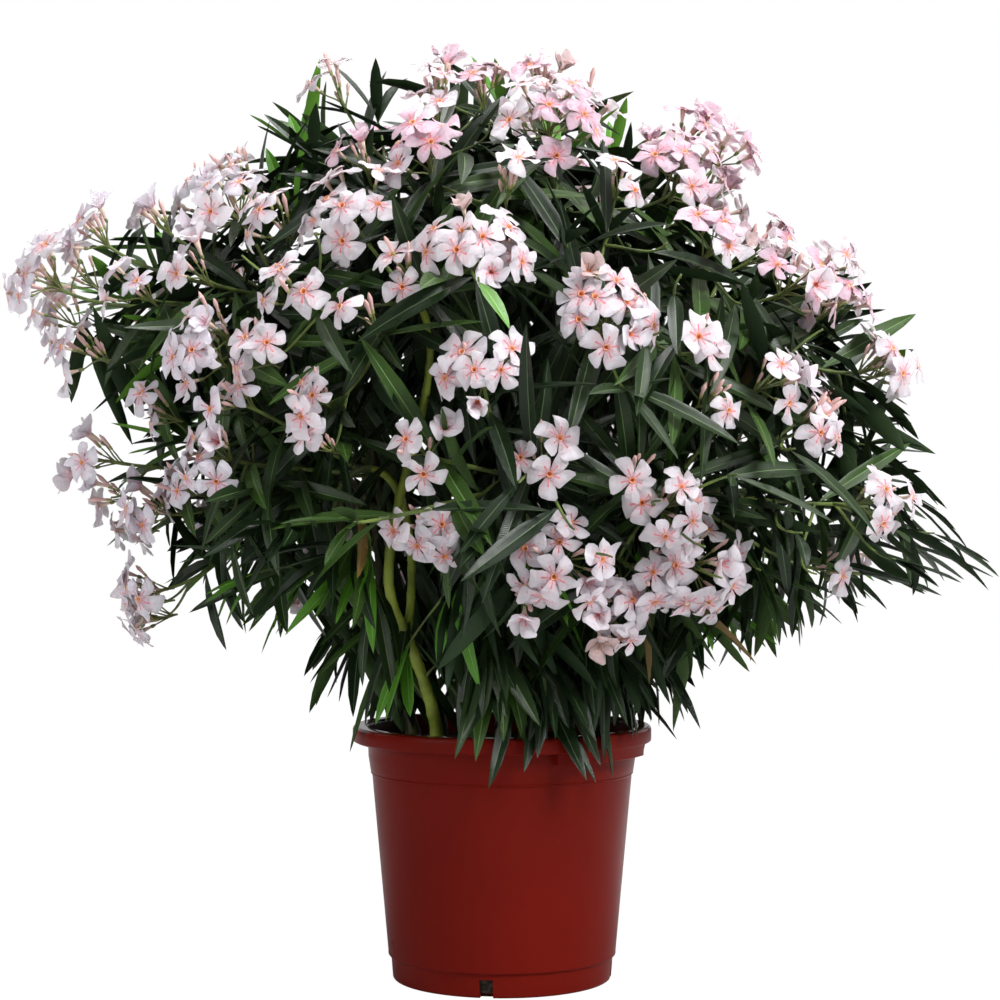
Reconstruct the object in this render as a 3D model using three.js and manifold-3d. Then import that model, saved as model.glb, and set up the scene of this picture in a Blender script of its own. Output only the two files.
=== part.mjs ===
// A pot-grown oleander in flower, in millimetres, +Z up, the origin at the centre of the pot's underside.
// Bearings are degrees about +Z: 0 is the front (-Y), 90 is the right (+X). Ten stems stand on the compost.
// Each forks into boughs, and each bough ends 0.3 mm short of the stem of one mass of leaves and blossom.
import * as THREE from "three";
import { mergeVertices } from "three/addons/utils/BufferGeometryUtils.js";
import Module from "manifold-3d";

const wasm = await Module();
wasm.setup();

const GAP = 0.3; // between neighbouring solids
const FINEST = 0.01; // the grid that fused vertices are set on
const UP = new THREE.Vector3(0, 0, 1);
const GOLDEN_ANGLE = 137.508; // from one place of an even spiral to the next

// The nursery pot.
const POT = {
  height: 252, rimRadius: 149, rimDepth: 16, neckRadius: 134, shoulderRadius: 131, shoulderHeight: 205,
  footRadius: 109, footTopRadius: 110.5, footHeight: 23, stepRadius: 113.5, wall: 3, floor: 4, sides: 28,
};
// The rim reaches further down along two grips, and the foot has four drain notches.
const GRIP = { bearings: [46, 226], span: 50, drop: 10, inset: 2, overlap: 6 };
const DRAIN = { bearings: [-8, 82, 172, 262], width: 13, height: 18, depth: 16 };
const COMPOST_TOP = 230;

// The crown: how far its leaves reach from its centre, by elevation, to each side. Some trusses stand
// out of it.
const CROWN_CENTRE = new THREE.Vector3(0, 0, 600);
const REACH = {
  elevations: [-72, -52, -35, -22, -10, 3, 12, 25, 40, 60, 80],
  left: [372, 352, 376, 425, 405, 415, 462, 405, 348, 356, 342],
  right: [378, 376, 420, 540, 430, 420, 385, 335, 318, 306, 342],
};
const DEPTH_SHARE = 0.93; // front to back, against side to side

// The masses of foliage stand in rings round the crown. A share is a fraction of the reach.
const RINGS = [
  {
    name: "low", elevation: -28, turn: 0,
    places: ["front", "front_right", "right", "back_right", "back", "back_left", "left", "front_left"],
  },
  {
    name: "middle", elevation: 15, turn: 22.5,
    places: ["front", "right_front", "right", "back_right", "back", "left_back", "left", "left_front"],
  },
  {
    name: "high", elevation: 54, turn: 36,
    places: ["right_front", "right_back", "back", "left_back", "left_front"],
  },
  { name: "top", elevation: 90, turn: 0, places: ["centre"] },
];
const MASS = { entryShare: 0.5, heartShare: 0.74, endShare: 0.62, margin: 1, mostLeaves: 18 };
const HEART_STEM = { startRadius: 3.2, endRadius: 2.6, sides: 4, steps: 3 }; // the stem inside each mass

// Limbs. A curve's end tangents reach these shares of its span.
const TANGENT = { start: 0.3, end: 0.35 };
const OUTER = { stems: 8, footRing: 88, forkRing: 142, forkHeight: 365, footRadius: 6.4, forkRadius: 5 };
const INNER = { footRing: 26, forkRing: 36, forkHeight: 520, footRadius: 7.4, forkRadius: 5.4 };
const STEM = { sides: 6, steps: 5, flare: 0.35, flareShare: 0.2, leaving: 58 };
const BOUGH = {
  startRadius: 4.2, endRadius: 3.3, sides: 5, steps: 3, sideStart: 22, sideAngle: 48, lift: 0.5,
};
const TWIG = { startRadius: 1.7, endRadius: 1.7, sides: 3, steps: 2, from: 0.15, lift: 0.4 };

// Leaves stand in whorls of three, and the blossom in trusses at the tips of the twigs.
const LEAF = {
  length: 148, spread: 0.14, width: 34, thickness: 2.2, widest: 0.45, arch: 9, fold: 0.1,
  angle: 52, droop: 0.12, root: 0.5, free: 12,
};
const WHORL = {
  leaves: 3, belowTruss: [34, 78, 122], belowTip: [6, 50, 94], clearOfStem: 12,
  turn: 60, seededTurn: 50, tries: 10, turnStep: 12, leanStep: 6, shrink: 0.045,
};
const FLOWER = {
  radius: 27, depth: 44, notch: 0.4, throat: 9, petals: 5, tube: 3.2, tubeSides: 3, tubeShare: 0.7,
  root: 1.2, free: 14, leastSize: 0.94, sizeSpread: 0.12,
};
const TRUSS = {
  most: 4, standsFor: 3.6, // each flower stands for a few of the truss's
  loneTilt: 15, firstTilt: 4, tilt: 62, tries: 6, turnStep: 14,
};
const TIPS = {
  count: 104, lowest: -50, clearance: 85, inset: 78, insetLeast: 0.75, insetSpread: 0.5,
  behind: 0.1, floweringShare: 0.55, fewestFlowers: 3, moreFlowers: 8, // the trusses of the back
};

// The trusses that show from the front, as seen from the eye: right of centre, height, open flowers.
const EYE = { distance: 2350, height: 476, roundness: 0.86, inset: 34, mostShare: 0.96 };
const FRONT_TRUSSES = [
  // the left flank, from its top down
  [-182, 915, 2], [-300, 782, 8], [-378, 768, 2], [-432, 744, 4], [-484, 698, 8], [-342, 716, 3],
  [-235, 688, 4], [-446, 622, 4], [-328, 622, 6], [-290, 568, 3], [-206, 572, 3], [-312, 508, 6],
  [-432, 508, 4], [-370, 448, 5], [-376, 366, 5],
  // the middle, from the top down
  [-75, 905, 3], [55, 882, 12], [-85, 850, 6], [-172, 780, 9], [-32, 738, 10], [118, 660, 9],
  [-22, 596, 6], [-88, 512, 3], [45, 505, 3], [-85, 425, 4], [65, 392, 9], [125, 350, 5],
  // the right flank, from its top down
  [200, 818, 12], [238, 745, 6], [325, 700, 10], [222, 630, 3], [408, 610, 5], [298, 590, 4],
  [340, 540, 3], [405, 462, 5], [180, 450, 6], [350, 388, 2], [215, 385, 8],
];

// A repeatable number from 0 to 1 for three whole-number keys.
function chance(a, b, c) {
  let h = Math.imul(a + 1, 0x9e3779b1) ^ Math.imul(b + 1, 0x85ebca6b) ^ Math.imul(c + 1, 0xc2b2ae35);
  h = Math.imul(h ^ (h >>> 15), 0x2c1b3c6d);
  h = Math.imul(h ^ (h >>> 12), 0x297a2d39);
  return ((h ^ (h >>> 15)) >>> 0) / 4294967296;
}

const radians = THREE.MathUtils.degToRad;

// The unit vector at a bearing and an elevation, both in degrees.
function direction(bearing, elevation = 0) {
  const flat = Math.cos(radians(elevation));
  return new THREE.Vector3(
    Math.sin(radians(bearing)) * flat, -Math.cos(radians(bearing)) * flat, Math.sin(radians(elevation)));
}

// The value at x on straight lines between the points (xs, ys), level beyond the ends.
function between(x, xs, ys) {
  let i = 1;
  while (i < xs.length - 1 && x > xs[i]) i += 1;
  const t = THREE.MathUtils.clamp((x - xs[i - 1]) / (xs[i] - xs[i - 1]), 0, 1);
  return ys[i - 1] + (ys[i] - ys[i - 1]) * t;
}

// The crown's reach along a unit vector.
function reachAlong(d) {
  const elevation = THREE.MathUtils.radToDeg(Math.asin(THREE.MathUtils.clamp(d.z, -1, 1)));
  const flat = Math.max(Math.hypot(d.x, d.y), 1e-6);
  const left = between(elevation, REACH.elevations, REACH.left);
  const right = between(elevation, REACH.elevations, REACH.right);
  const side = (left + right) / 2 + ((right - left) / 2) * (d.x / flat);
  return side * (1 - (1 - DEPTH_SHARE) * (d.y / flat) ** 2 * (flat / Math.hypot(flat, d.z)));
}

// The point at a share of the reach along a unit vector.
function crownPoint(d, share) {
  return CROWN_CENTRE.clone().addScaledVector(d, reachAlong(d) * share);
}

// ---- solids ----

// A geometry's merged vertices, and its triangles without those that merging flattened.
function facesOf(geometry) {
  const bare = new THREE.BufferGeometry().setAttribute("position", geometry.getAttribute("position"));
  if (geometry.index) bare.setIndex(geometry.index);
  const merged = mergeVertices(bare, FINEST / 100);
  const triVerts = [];
  for (let i = 0; i < merged.index.count; i += 3) {
    const [a, b, c] = merged.index.array.subarray(i, i + 3);
    if (a !== b && b !== c && c !== a) triVerts.push(a, b, c);
  }
  return { vertProperties: merged.attributes.position.array, triVerts: new Uint32Array(triVerts) };
}

// A closed three.js geometry as a solid.
function solidOf(geometry) {
  return new wasm.Manifold(new wasm.Mesh({ numProp: 3, ...facesOf(geometry) }));
}

// Whether triangles close: each edge is run along once each way.
function isClosed(triVerts) {
  const edges = new Set();
  for (let i = 0; i < triVerts.length; i += 1) {
    edges.add(`${triVerts[i]},${triVerts[i % 3 === 2 ? i - 2 : i + 1]}`);
  }
  const backwards = (edge) => edge.split(",").reverse().join();
  return edges.size === triVerts.length && [...edges].every((edge) => edges.has(backwards(edge)));
}

// A solid's faces with their vertices set on a fine grid.
function settledFaces(solid) {
  const { numProp, numVert, vertProperties, triVerts } = solid.getMesh();
  const onGrid = (_, i) => {
    const coordinate = vertProperties[Math.floor(i / 3) * numProp + (i % 3)];
    return Math.round(coordinate / FINEST) * FINEST;
  };
  const position = Float32Array.from({ length: numVert * 3 }, onGrid);
  const geometry = new THREE.BufferGeometry().setIndex(new THREE.BufferAttribute(triVerts, 1));
  return facesOf(geometry.setAttribute("position", new THREE.BufferAttribute(position, 3)));
}

// A solid as a three.js geometry.
function geometryOf(solid) {
  const { vertProperties, triVerts } = settledFaces(solid);
  const geometry = new THREE.BufferGeometry().setIndex(new THREE.BufferAttribute(triVerts, 1));
  geometry.setAttribute("position", new THREE.BufferAttribute(vertProperties, 3));
  geometry.computeVertexNormals();
  return geometry;
}

// Moves each vertex of a geometry to place(x, y, z).
function reshape(geometry, place) {
  const position = geometry.getAttribute("position");
  for (let i = 0; i < position.count; i += 1) {
    const p = place(position.getX(i), position.getY(i), position.getZ(i));
    position.setXYZ(i, p.x, p.y, p.z);
  }
  return geometry;
}

// The largest body of a solid, without loose scraps.
function largest(solid) {
  return solid.decompose().reduce((a, b) => (a.volume() > b.volume() ? a : b));
}

// A curve from one point and heading to another, with tangents in proportion to the span.
function spanning(start, leaving, end, arriving, span) {
  return new THREE.CubicBezierCurve3(
    start,
    start.clone().addScaledVector(leaving, span * TANGENT.start),
    end.clone().addScaledVector(arriving, -span * TANGENT.end),
    end,
  );
}

// A round limb along a curve: a cylinder whose rings are set across the curve, with radius(t) from foot to
// tip. It may be grown: wider all along, and longer at both ends.
function limb(curve, radius, { sides, steps }, grown = 0) {
  const frames = curve.computeFrenetFrames(steps, false);
  const place = (x, y, z) => {
    const step = Math.round((y + 0.5) * steps);
    const across = Math.hypot(x, z) < 1e-6 ? 0 : radius(step / steps) + grown;
    const past = step === 0 ? -grown : step === steps ? grown : 0;
    return curve.getPointAt(step / steps)
      .addScaledVector(frames.tangents[step], past)
      .addScaledVector(frames.normals[step], x * across)
      .addScaledVector(frames.binormals[step], -z * across);
  };
  return reshape(new THREE.CylinderGeometry(1, 1, 1, sides, steps), place);
}

// The radius along an even taper.
function taper({ startRadius, endRadius }) {
  return (t) => THREE.MathUtils.lerp(startRadius, endRadius, t);
}

// The point and heading on a limb's axis, which is straight between its rings, at a share of its length.
function onAxis(curve, steps, share) {
  const step = Math.min(Math.floor(share * steps), steps - 1);
  const [from, to] = [curve.getPointAt(step / steps), curve.getPointAt((step + 1) / steps)];
  return { at: from.clone().lerp(to, share * steps - step), heading: to.clone().sub(from).normalize() };
}

// A leaf: an octahedron drawn out to root and tip, its widest place arched above the line between them.
function leafGeometry(root, along, upwards, length, width) {
  const across = new THREE.Vector3().crossVectors(upwards, along).normalize();
  const top = new THREE.Vector3().crossVectors(along, across).normalize();
  return reshape(new THREE.OctahedronGeometry(1, 0), (x, y, z) => {
    const share = Math.abs(x) > 0.5 ? (x > 0 ? 1 : 0) : LEAF.widest;
    const arch = Math.abs(x) > 0.5 ? 0 : LEAF.arch + Math.abs(y) * width * LEAF.fold;
    return root.clone()
      .addScaledVector(along, share * length)
      .addScaledVector(across, (y * width) / 2)
      .addScaledVector(top, arch + (z * LEAF.thickness) / 2);
  });
}

// A flower: a star of petals on a three-sided tube that narrows to the root, its face sunk to a throat.
function flowerGeometry(root, along, size) {
  const turn = new THREE.Quaternion().setFromUnitVectors(new THREE.Vector3(0, -1, 0), along);
  const place = (x, y, z) => {
    const onAxisLine = Math.hypot(x, z) < 1e-6;
    const atFace = y < -0.4; // the cone's base, at y = -0.5
    const halfTurns = Math.atan2(x, z) / Math.PI;
    const p = new THREE.Vector3(0, 0, 0);
    if (atFace && onAxisLine) {
      p.y = FLOWER.throat - FLOWER.depth;
    } else if (atFace) {
      const share = Math.round(halfTurns * FLOWER.petals) % 2 === 0 ? 1 : FLOWER.notch;
      p.set(x * share * FLOWER.radius, -FLOWER.depth, z * share * FLOWER.radius);
    } else if (!onAxisLine) {
      const sides = FLOWER.tubeSides / 2;
      const corner = (Math.round(halfTurns * sides) / sides) * Math.PI;
      p.set(Math.sin(corner), 0, Math.cos(corner)).multiplyScalar(FLOWER.tube);
      p.y = -FLOWER.depth * FLOWER.tubeShare;
    }
    return p.multiplyScalar(size).applyQuaternion(turn).add(root);
  };
  return reshape(new THREE.ConeGeometry(1, 1, FLOWER.petals * 2, 2), place);
}

// ---- the pot and its compost ----

function potSolid() {
  const p = POT;
  const inner = (radius) => radius - p.wall;
  const underRim = p.height - p.rimDepth;
  const outline = [
    [0, 0], [p.footRadius - 3, 0], [p.footRadius, 3],
    [p.footTopRadius, p.footHeight], [p.stepRadius, p.footHeight + 4],
    [p.shoulderRadius - 1.2, p.shoulderHeight - 2], [p.shoulderRadius, p.shoulderHeight + 1],
    [p.neckRadius, underRim - 6], [p.rimRadius - 1, underRim], [p.rimRadius, underRim + 2],
    [p.rimRadius, p.height - 4], [p.rimRadius - 4, p.height], [p.neckRadius + 2, p.height - 1],
    [inner(p.neckRadius), p.height - 6], [inner(p.footRadius), p.floor], [0, p.floor],
  ].map(([r, z]) => new THREE.Vector2(r, z));
  const body = solidOf(new THREE.LatheGeometry(outline, p.sides).rotateX(Math.PI / 2));
  const gripped = GRIP.bearings.reduce((pot, bearing) => pot.add(gripSolid(bearing)), body);
  return DRAIN.bearings.reduce((pot, bearing) => pot.subtract(notchSolid(bearing)), gripped);
}

// A stretch of rim that reaches further down: an arc between the wall and the rim's outer face.
function gripSolid(bearing) {
  const [from, to] = [bearing - 90 - GRIP.span / 2, bearing - 90 + GRIP.span / 2].map(radians);
  const arc = new THREE.Shape()
    .absarc(0, 0, POT.rimRadius - GRIP.inset, from, to, false)
    .absarc(0, 0, POT.neckRadius - 2.4, to, from, true);
  const height = GRIP.drop + GRIP.overlap;
  const grip = new THREE.ExtrudeGeometry(arc, { depth: height, bevelEnabled: false, curveSegments: 6 });
  return solidOf(grip.translate(0, 0, POT.height - POT.rimDepth - GRIP.drop));
}

// The box that cuts one drain notch.
function notchSolid(bearing) {
  const box = new THREE.BoxGeometry(DRAIN.width, DRAIN.depth, DRAIN.height * 2);
  const out = direction(bearing).multiplyScalar(POT.footRadius);
  return solidOf(box.rotateZ(radians(bearing)).translate(out.x, out.y, 0));
}

function compostSolid() {
  const height = COMPOST_TOP - POT.floor - GAP;
  const slope = (POT.neckRadius - POT.footRadius) / (POT.height - 6 - POT.floor);
  const bottom = POT.footRadius - POT.wall - 2 * GAP;
  const compost = new THREE.CylinderGeometry(bottom + slope * height, bottom, height, POT.sides);
  const inside = solidOf(compost.rotateX(Math.PI / 2).translate(0, 0, POT.floor + GAP + height / 2));
  return DRAIN.bearings.reduce((all, bearing) => all.subtract(notchSolid(bearing)), inside);
}

// ---- stems and boughs ----

// A stem from its flat foot on the compost to its fork, upright at the foot and leaning out above it.
function makeStem(kind, bearing) {
  const foot = direction(bearing).multiplyScalar(kind.footRing).setZ(COMPOST_TOP + GAP);
  const fork = direction(bearing).multiplyScalar(kind.forkRing).setZ(kind.forkHeight);
  const rise = fork.z - foot.z;
  const curve = spanning(foot, UP, fork, direction(bearing, STEM.leaving), rise);
  const radius = (t) => THREE.MathUtils.lerp(kind.footRadius, kind.forkRadius, t)
    * (1 + STEM.flare * Math.max(0, 1 - t / STEM.flareShare));
  return { curve, radius, ...limbSolids(curve, radius, STEM) };
}

// A limb's solid, and its halo: the same limb grown by the gap that its neighbours keep.
function limbSolids(curve, radius, shape) {
  return { solid: solidOf(limb(curve, radius, shape)), halo: solidOf(limb(curve, radius, shape, GAP)) };
}

// The first bough of a stem goes on from its end. Each further one branches off its axis, lower down.
function boughStart(stem, order, entry) {
  if (order === 0) {
    const leaving = stem.curve.getTangentAt(1);
    return { start: stem.curve.getPoint(1).addScaledVector(leaving, GAP), leaving };
  }
  const share = 1 - (BOUGH.sideStart * order) / stem.curve.getLength();
  const { at, heading } = onAxis(stem.curve, STEM.steps, share);
  const side = entry.clone().sub(at);
  side.addScaledVector(heading, -side.dot(heading)).normalize();
  const angle = radians(BOUGH.sideAngle);
  const leaving = heading.multiplyScalar(Math.cos(angle)).addScaledVector(side, Math.sin(angle));
  return { start: at, leaving };
}

// A bough from a stem to where its mass begins, cut clear of the stem and of that stem's other boughs.
function makeBough(family, order, entry, heading) {
  const { start, leaving } = boughStart(family[0], order, entry);
  const curve = spanning(start, leaving, entry, heading, start.distanceTo(entry));
  const { solid, halo } = limbSolids(curve, taper(BOUGH), BOUGH);
  const cut = () => largest(family.reduce((rest, other) => rest.subtract(other.halo), solid));
  return { heading: curve.getTangentAt(1), solid: order === 0 ? solid : cut(), halo };
}

// ---- foliage ----

// Where a point of the crown's front, given as it is seen from the eye, stands in space.
function fromTheEye(across, height) {
  const seen = new THREE.Vector3(across, 0, height - CROWN_CENTRE.z);
  const share = Math.min(seen.length() / reachAlong(seen.clone().normalize()), EYE.mostShare);
  const depth = reachAlong(direction(0)) * Math.sqrt(1 - share ** 2) * EYE.roundness;
  const nearer = (EYE.distance - depth) / EYE.distance;
  const truss = new THREE.Vector3(across * nearer, -depth, EYE.height + (height - EYE.height) * nearer);
  return truss.addScaledVector(truss.clone().sub(CROWN_CENTRE).normalize(), -EYE.inset);
}

// The tips of the twigs: the trusses of the front, then an even spiral over the rest of the crown.
function makeTips() {
  const toTip = ([across, height, flowers]) => ({ at: fromTheEye(across, height), flowers });
  const tips = FRONT_TRUSSES.map(toTip);
  const lowest = Math.sin(radians(TIPS.lowest));
  for (let i = 0; i < TIPS.count; i += 1) {
    const rise = 1 - ((i + 0.5) / TIPS.count) * (1 - lowest);
    const d = direction(i * GOLDEN_ANGLE, THREE.MathUtils.radToDeg(Math.asin(rise)));
    const inset = TIPS.inset * (TIPS.insetLeast + TIPS.insetSpread * chance(i, 1, 7));
    const at = crownPoint(d, 1).addScaledVector(d, -inset);
    if (tips.some((tip) => tip.at.distanceTo(at) < TIPS.clearance)) continue;
    const inFlower = d.y > TIPS.behind && chance(i, 2, 7) < TIPS.floweringShare;
    const number = TIPS.fewestFlowers + Math.floor(chance(i, 3, 7) * TIPS.moreFlowers);
    tips.push({ at, flowers: inFlower ? number : 0 });
  }
  return tips;
}

function makeMasses() {
  const masses = [];
  for (const ring of RINGS) {
    ring.places.forEach((place, i) => {
      const bearing = ring.turn + (360 / ring.places.length) * i;
      const d = direction(bearing, ring.elevation);
      masses.push({
        name: `foliage_${ring.name}_${place}`, ring: ring.name, index: masses.length, order: i, bearing,
        entry: crownPoint(d, MASS.entryShare), heart: crownPoint(d, MASS.heartShare),
        end: crownPoint(d, MASS.endShare), tips: [],
      });
    });
  }
  return masses;
}

// Whether a point is in a mass's own space: nearer to its heart than to any other, by a margin.
function inSpace(point, mass, masses) {
  const own = point.distanceTo(mass.heart);
  return masses.every((other) => {
    if (other === mass) return true;
    const apart = mass.heart.distanceTo(other.heart);
    const past = (point.distanceToSquared(other.heart) - own ** 2) / (2 * apart);
    return past > MASS.margin;
  });
}

// Whether a point is within the reach of the leaves.
function inCrown(point) {
  const out = point.clone().sub(CROWN_CENTRE);
  return out.length() < reachAlong(out.clone().normalize());
}

// The corners of a geometry as points.
function corners(geometry) {
  const position = geometry.getAttribute("position");
  const corner = (_, i) => new THREE.Vector3().fromBufferAttribute(position, i);
  return Array.from({ length: position.count }, corner);
}

// A seeded unit vector across a limb's heading.
function acrossAt(heading, degrees) {
  const side = new THREE.Vector3().crossVectors(heading, UP);
  if (side.lengthSq() < 1e-4) side.set(1, 0, 0);
  return side.normalize().applyAxisAngle(heading, radians(degrees));
}

// A twig's curve: it leaves the mass's stem towards the tip, and its end turns up and out.
function twigCurve(from, tip) {
  const towards = tip.clone().sub(from).normalize();
  const ending = tip.clone().sub(CROWN_CENTRE).normalize().addScaledVector(UP, TWIG.lift).normalize();
  return spanning(from, towards, tip, ending, from.distanceTo(tip));
}

// A mass of leaves and blossom on its own stem: one solid, in its own space and clear of every limb.
function makeMass(mass, bough, limbs, masses) {
  const near = limbs.map((other) => ({ halo: other.halo, box: boxOf(other.halo) }));
  const touches = (solid) => {
    const box = boxOf(solid);
    return near.some((other) => other.box.intersectsBox(box) && !solid.intersect(other.halo).isEmpty());
  };
  const stays = (geometry) => corners(geometry).every((p) => inSpace(p, mass, masses));
  let body = null;
  // Adds a piece if it stays in the space, and if its free part, which leaves its root out, meets nothing.
  const grow = (geometry, freePart) => {
    if (!stays(geometry)) return false;
    const solid = solidOf(geometry);
    if (touches(solid)) return false;
    if (freePart && !body.intersect(solidOf(freePart)).isEmpty()) return false;
    const joined = body.add(solid);
    if (!isClosed(settledFaces(joined).triVerts)) return false;
    body = joined;
    return true;
  };

  const start = mass.entry.clone().addScaledVector(bough.heading, GAP);
  const length = start.distanceTo(mass.end);
  const stem = new THREE.QuadraticBezierCurve3(
    start, start.clone().addScaledVector(bough.heading, length * 0.5), mass.end);
  body = solidOf(limb(stem, taper(HEART_STEM), HEART_STEM));

  const twigs = mass.tips.map((tip, k) => {
    const t = THREE.MathUtils.lerp(TWIG.from, 1, (k + 0.5) / mass.tips.length);
    return { tip, k, curve: twigCurve(onAxis(stem, HEART_STEM.steps, t).at, tip.at) };
  });
  const grown = twigs.filter(({ curve }) => grow(limb(curve, taper(TWIG), TWIG)));
  for (const twig of grown) growTruss(mass, twig, grow);
  let leaves = 0;
  for (let w = 0; w < WHORL.belowTip.length; w += 1) {
    for (const twig of grown) {
      if (leaves < MASS.mostLeaves) leaves += growWhorl(mass, twig, w, grow);
    }
  }
  return largest(body);
}

// One whorl of three leaves on a twig. A leaf with no room is turned, leant and shrunk, and then left out.
// Gives the number of leaves grown.
function growWhorl(mass, { tip, k, curve }, w, grow) {
  const back = (tip.flowers ? WHORL.belowTruss : WHORL.belowTip)[w];
  if (back > curve.getLength() - WHORL.clearOfStem) return 0;
  const { at, heading } = onAxis(curve, TWIG.steps, 1 - back / curve.getLength());
  let grown = 0;
  for (let i = 0; i < WHORL.leaves; i += 1) {
    const spread = 1 + LEAF.spread * (chance(mass.index, k * 16 + w * 4 + i, 1) - 0.5) * 2;
    const first = (360 / WHORL.leaves) * i + WHORL.turn * w + WHORL.seededTurn * chance(mass.index, k, 2);
    for (let attempt = 0; attempt < WHORL.tries; attempt += 1) {
      const turn = first + WHORL.turnStep * attempt * (attempt % 2 ? 1 : -1);
      const lean = radians(LEAF.angle + WHORL.leanStep * attempt);
      const size = spread * (1 - WHORL.shrink * attempt);
      const along = heading.clone().multiplyScalar(Math.cos(lean))
        .addScaledVector(acrossAt(heading, turn), Math.sin(lean))
        .addScaledVector(UP, -LEAF.droop).normalize();
      const leafFrom = (out) => {
        const root = at.clone().addScaledVector(along, out);
        return leafGeometry(root, along, heading, LEAF.length * size - out, LEAF.width * size);
      };
      const leaf = leafFrom(-LEAF.root);
      if (corners(leaf).every(inCrown) && grow(leaf, leafFrom(LEAF.free))) {
        grown += 1;
        break;
      }
    }
  }
  return grown;
}

// A truss at the end of a twig: one flower straight ahead, and the others spread round it.
function growTruss(mass, { tip, k, curve }, grow) {
  const count = Math.min(TRUSS.most, Math.ceil(tip.flowers / TRUSS.standsFor));
  const { heading } = onAxis(curve, TWIG.steps, 1);
  for (let i = 0; i < count; i += 1) {
    const size = FLOWER.leastSize + FLOWER.sizeSpread * chance(mass.index, k * 8 + i, 5);
    const tilt = radians(count < 2 ? TRUSS.loneTilt : i === 0 ? TRUSS.firstTilt : TRUSS.tilt);
    const first = 360 * (i / Math.max(count - 1, 1)) + 90 * chance(mass.index, k, 6);
    for (let attempt = 0; attempt < TRUSS.tries; attempt += 1) {
      const turn = first + TRUSS.turnStep * attempt * (attempt % 2 ? 1 : -1);
      const along = heading.clone().multiplyScalar(Math.cos(tilt))
        .addScaledVector(acrossAt(heading, turn), Math.sin(tilt)).normalize();
      const root = tip.at.clone().addScaledVector(heading, -FLOWER.root);
      const freeRoot = root.clone().addScaledVector(along, FLOWER.free);
      const freeSize = size * (1 - FLOWER.free / FLOWER.depth);
      if (grow(flowerGeometry(root, along, size), flowerGeometry(freeRoot, along, freeSize))) break;
    }
  }
}

function boxOf(solid) {
  const { min, max } = solid.boundingBox();
  return new THREE.Box3(new THREE.Vector3(...min), new THREE.Vector3(...max));
}

// ---- the whole plant ----

const FINISH = {
  pot: new THREE.MeshStandardMaterial({ color: 0x7a1f14, roughness: 0.42, metalness: 0 }),
  compost: new THREE.MeshStandardMaterial({ color: 0x1d1512, roughness: 0.95, metalness: 0 }),
  stem: new THREE.MeshStandardMaterial({ color: 0x5d6136, roughness: 0.7, metalness: 0 }),
  foliage: new THREE.MeshStandardMaterial({ color: 0x24402a, roughness: 0.5, metalness: 0 }),
};
const plant = new THREE.Group();

function addNode(name, solid, finish) {
  const node = new THREE.Mesh(geometryOf(solid), finish);
  node.name = name;
  plant.add(node);
}

function buildPlant() {
  addNode("pot", potSolid(), FINISH.pot);
  addNode("compost", compostSolid(), FINISH.compost);
  const masses = makeMasses();
  for (const tip of makeTips()) {
    const nearer = (a, b) => (tip.at.distanceTo(a.heart) < tip.at.distanceTo(b.heart) ? a : b);
    masses.reduce(nearer).tips.push(tip);
  }
  const limbs = [];
  const boughs = new Map();
  const growStem = (name, kind, bearing, fed) => {
    const stem = makeStem(kind, bearing);
    addNode(name, stem.solid, FINISH.stem);
    const family = [stem];
    fed.forEach((mass, order) => {
      const inwards = mass.end.clone().sub(mass.entry).normalize();
      const heading = inwards.addScaledVector(UP, BOUGH.lift).normalize();
      const bough = makeBough(family, order, mass.entry, heading);
      addNode(mass.name.replace("foliage", "bough"), bough.solid, FINISH.stem);
      family.push(bough);
      boughs.set(mass, bough);
    });
    limbs.push(...family);
  };
  for (let i = 0; i < OUTER.stems; i += 1) {
    const fed = ["middle", "low"].map((ring) => masses.find((m) => m.ring === ring && m.order === i));
    growStem(`stem_outer_${i + 1}`, OUTER, (360 / OUTER.stems) * i, fed);
  }
  const upper = masses.filter((m) => m.ring === "high" || m.ring === "top");
  const onTheRight = (m) => m.bearing > 0 && m.bearing <= 180;
  growStem("stem_inner_right", INNER, 90, upper.filter(onTheRight));
  growStem("stem_inner_left", INNER, 270, upper.filter((m) => !onTheRight(m)));
  for (const mass of masses) {
    addNode(mass.name, makeMass(mass, boughs.get(mass), limbs, masses), FINISH.foliage);
  }
}

buildPlant();

export default plant;
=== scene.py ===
"""A pot-grown oleander in flower, dressed round its frame.

The stems and boughs follow the frame's limbs, and every twig, leaf and flower grows on from them by the
frame's own rule, carried on to finer twigs. Sizes are in millimetres until a piece's mesh is made.
Bearings are degrees about +Z: 0 is the front (-Y), 90 is the right (+X).
"""
import math
from collections import namedtuple

import bpy
import numpy as np
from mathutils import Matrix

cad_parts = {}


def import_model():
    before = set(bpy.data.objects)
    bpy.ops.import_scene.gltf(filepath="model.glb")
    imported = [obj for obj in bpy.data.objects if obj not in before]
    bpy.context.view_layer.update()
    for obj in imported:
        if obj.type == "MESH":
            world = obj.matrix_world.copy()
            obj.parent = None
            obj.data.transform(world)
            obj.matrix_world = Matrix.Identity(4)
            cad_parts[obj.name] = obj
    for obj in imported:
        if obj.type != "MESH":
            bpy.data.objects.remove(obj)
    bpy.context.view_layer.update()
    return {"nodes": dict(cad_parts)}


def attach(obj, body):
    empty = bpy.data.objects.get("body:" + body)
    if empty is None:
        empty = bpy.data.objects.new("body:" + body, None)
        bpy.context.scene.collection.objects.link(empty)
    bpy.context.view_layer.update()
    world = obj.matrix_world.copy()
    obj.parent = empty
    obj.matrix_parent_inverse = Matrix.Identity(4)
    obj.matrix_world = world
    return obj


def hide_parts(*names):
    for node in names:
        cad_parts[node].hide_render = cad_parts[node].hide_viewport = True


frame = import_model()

MM = 0.001
UP = np.array([0.0, 0.0, 1.0])
GOLDEN = 137.508  # degrees from one place of a spiral to the next

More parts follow.
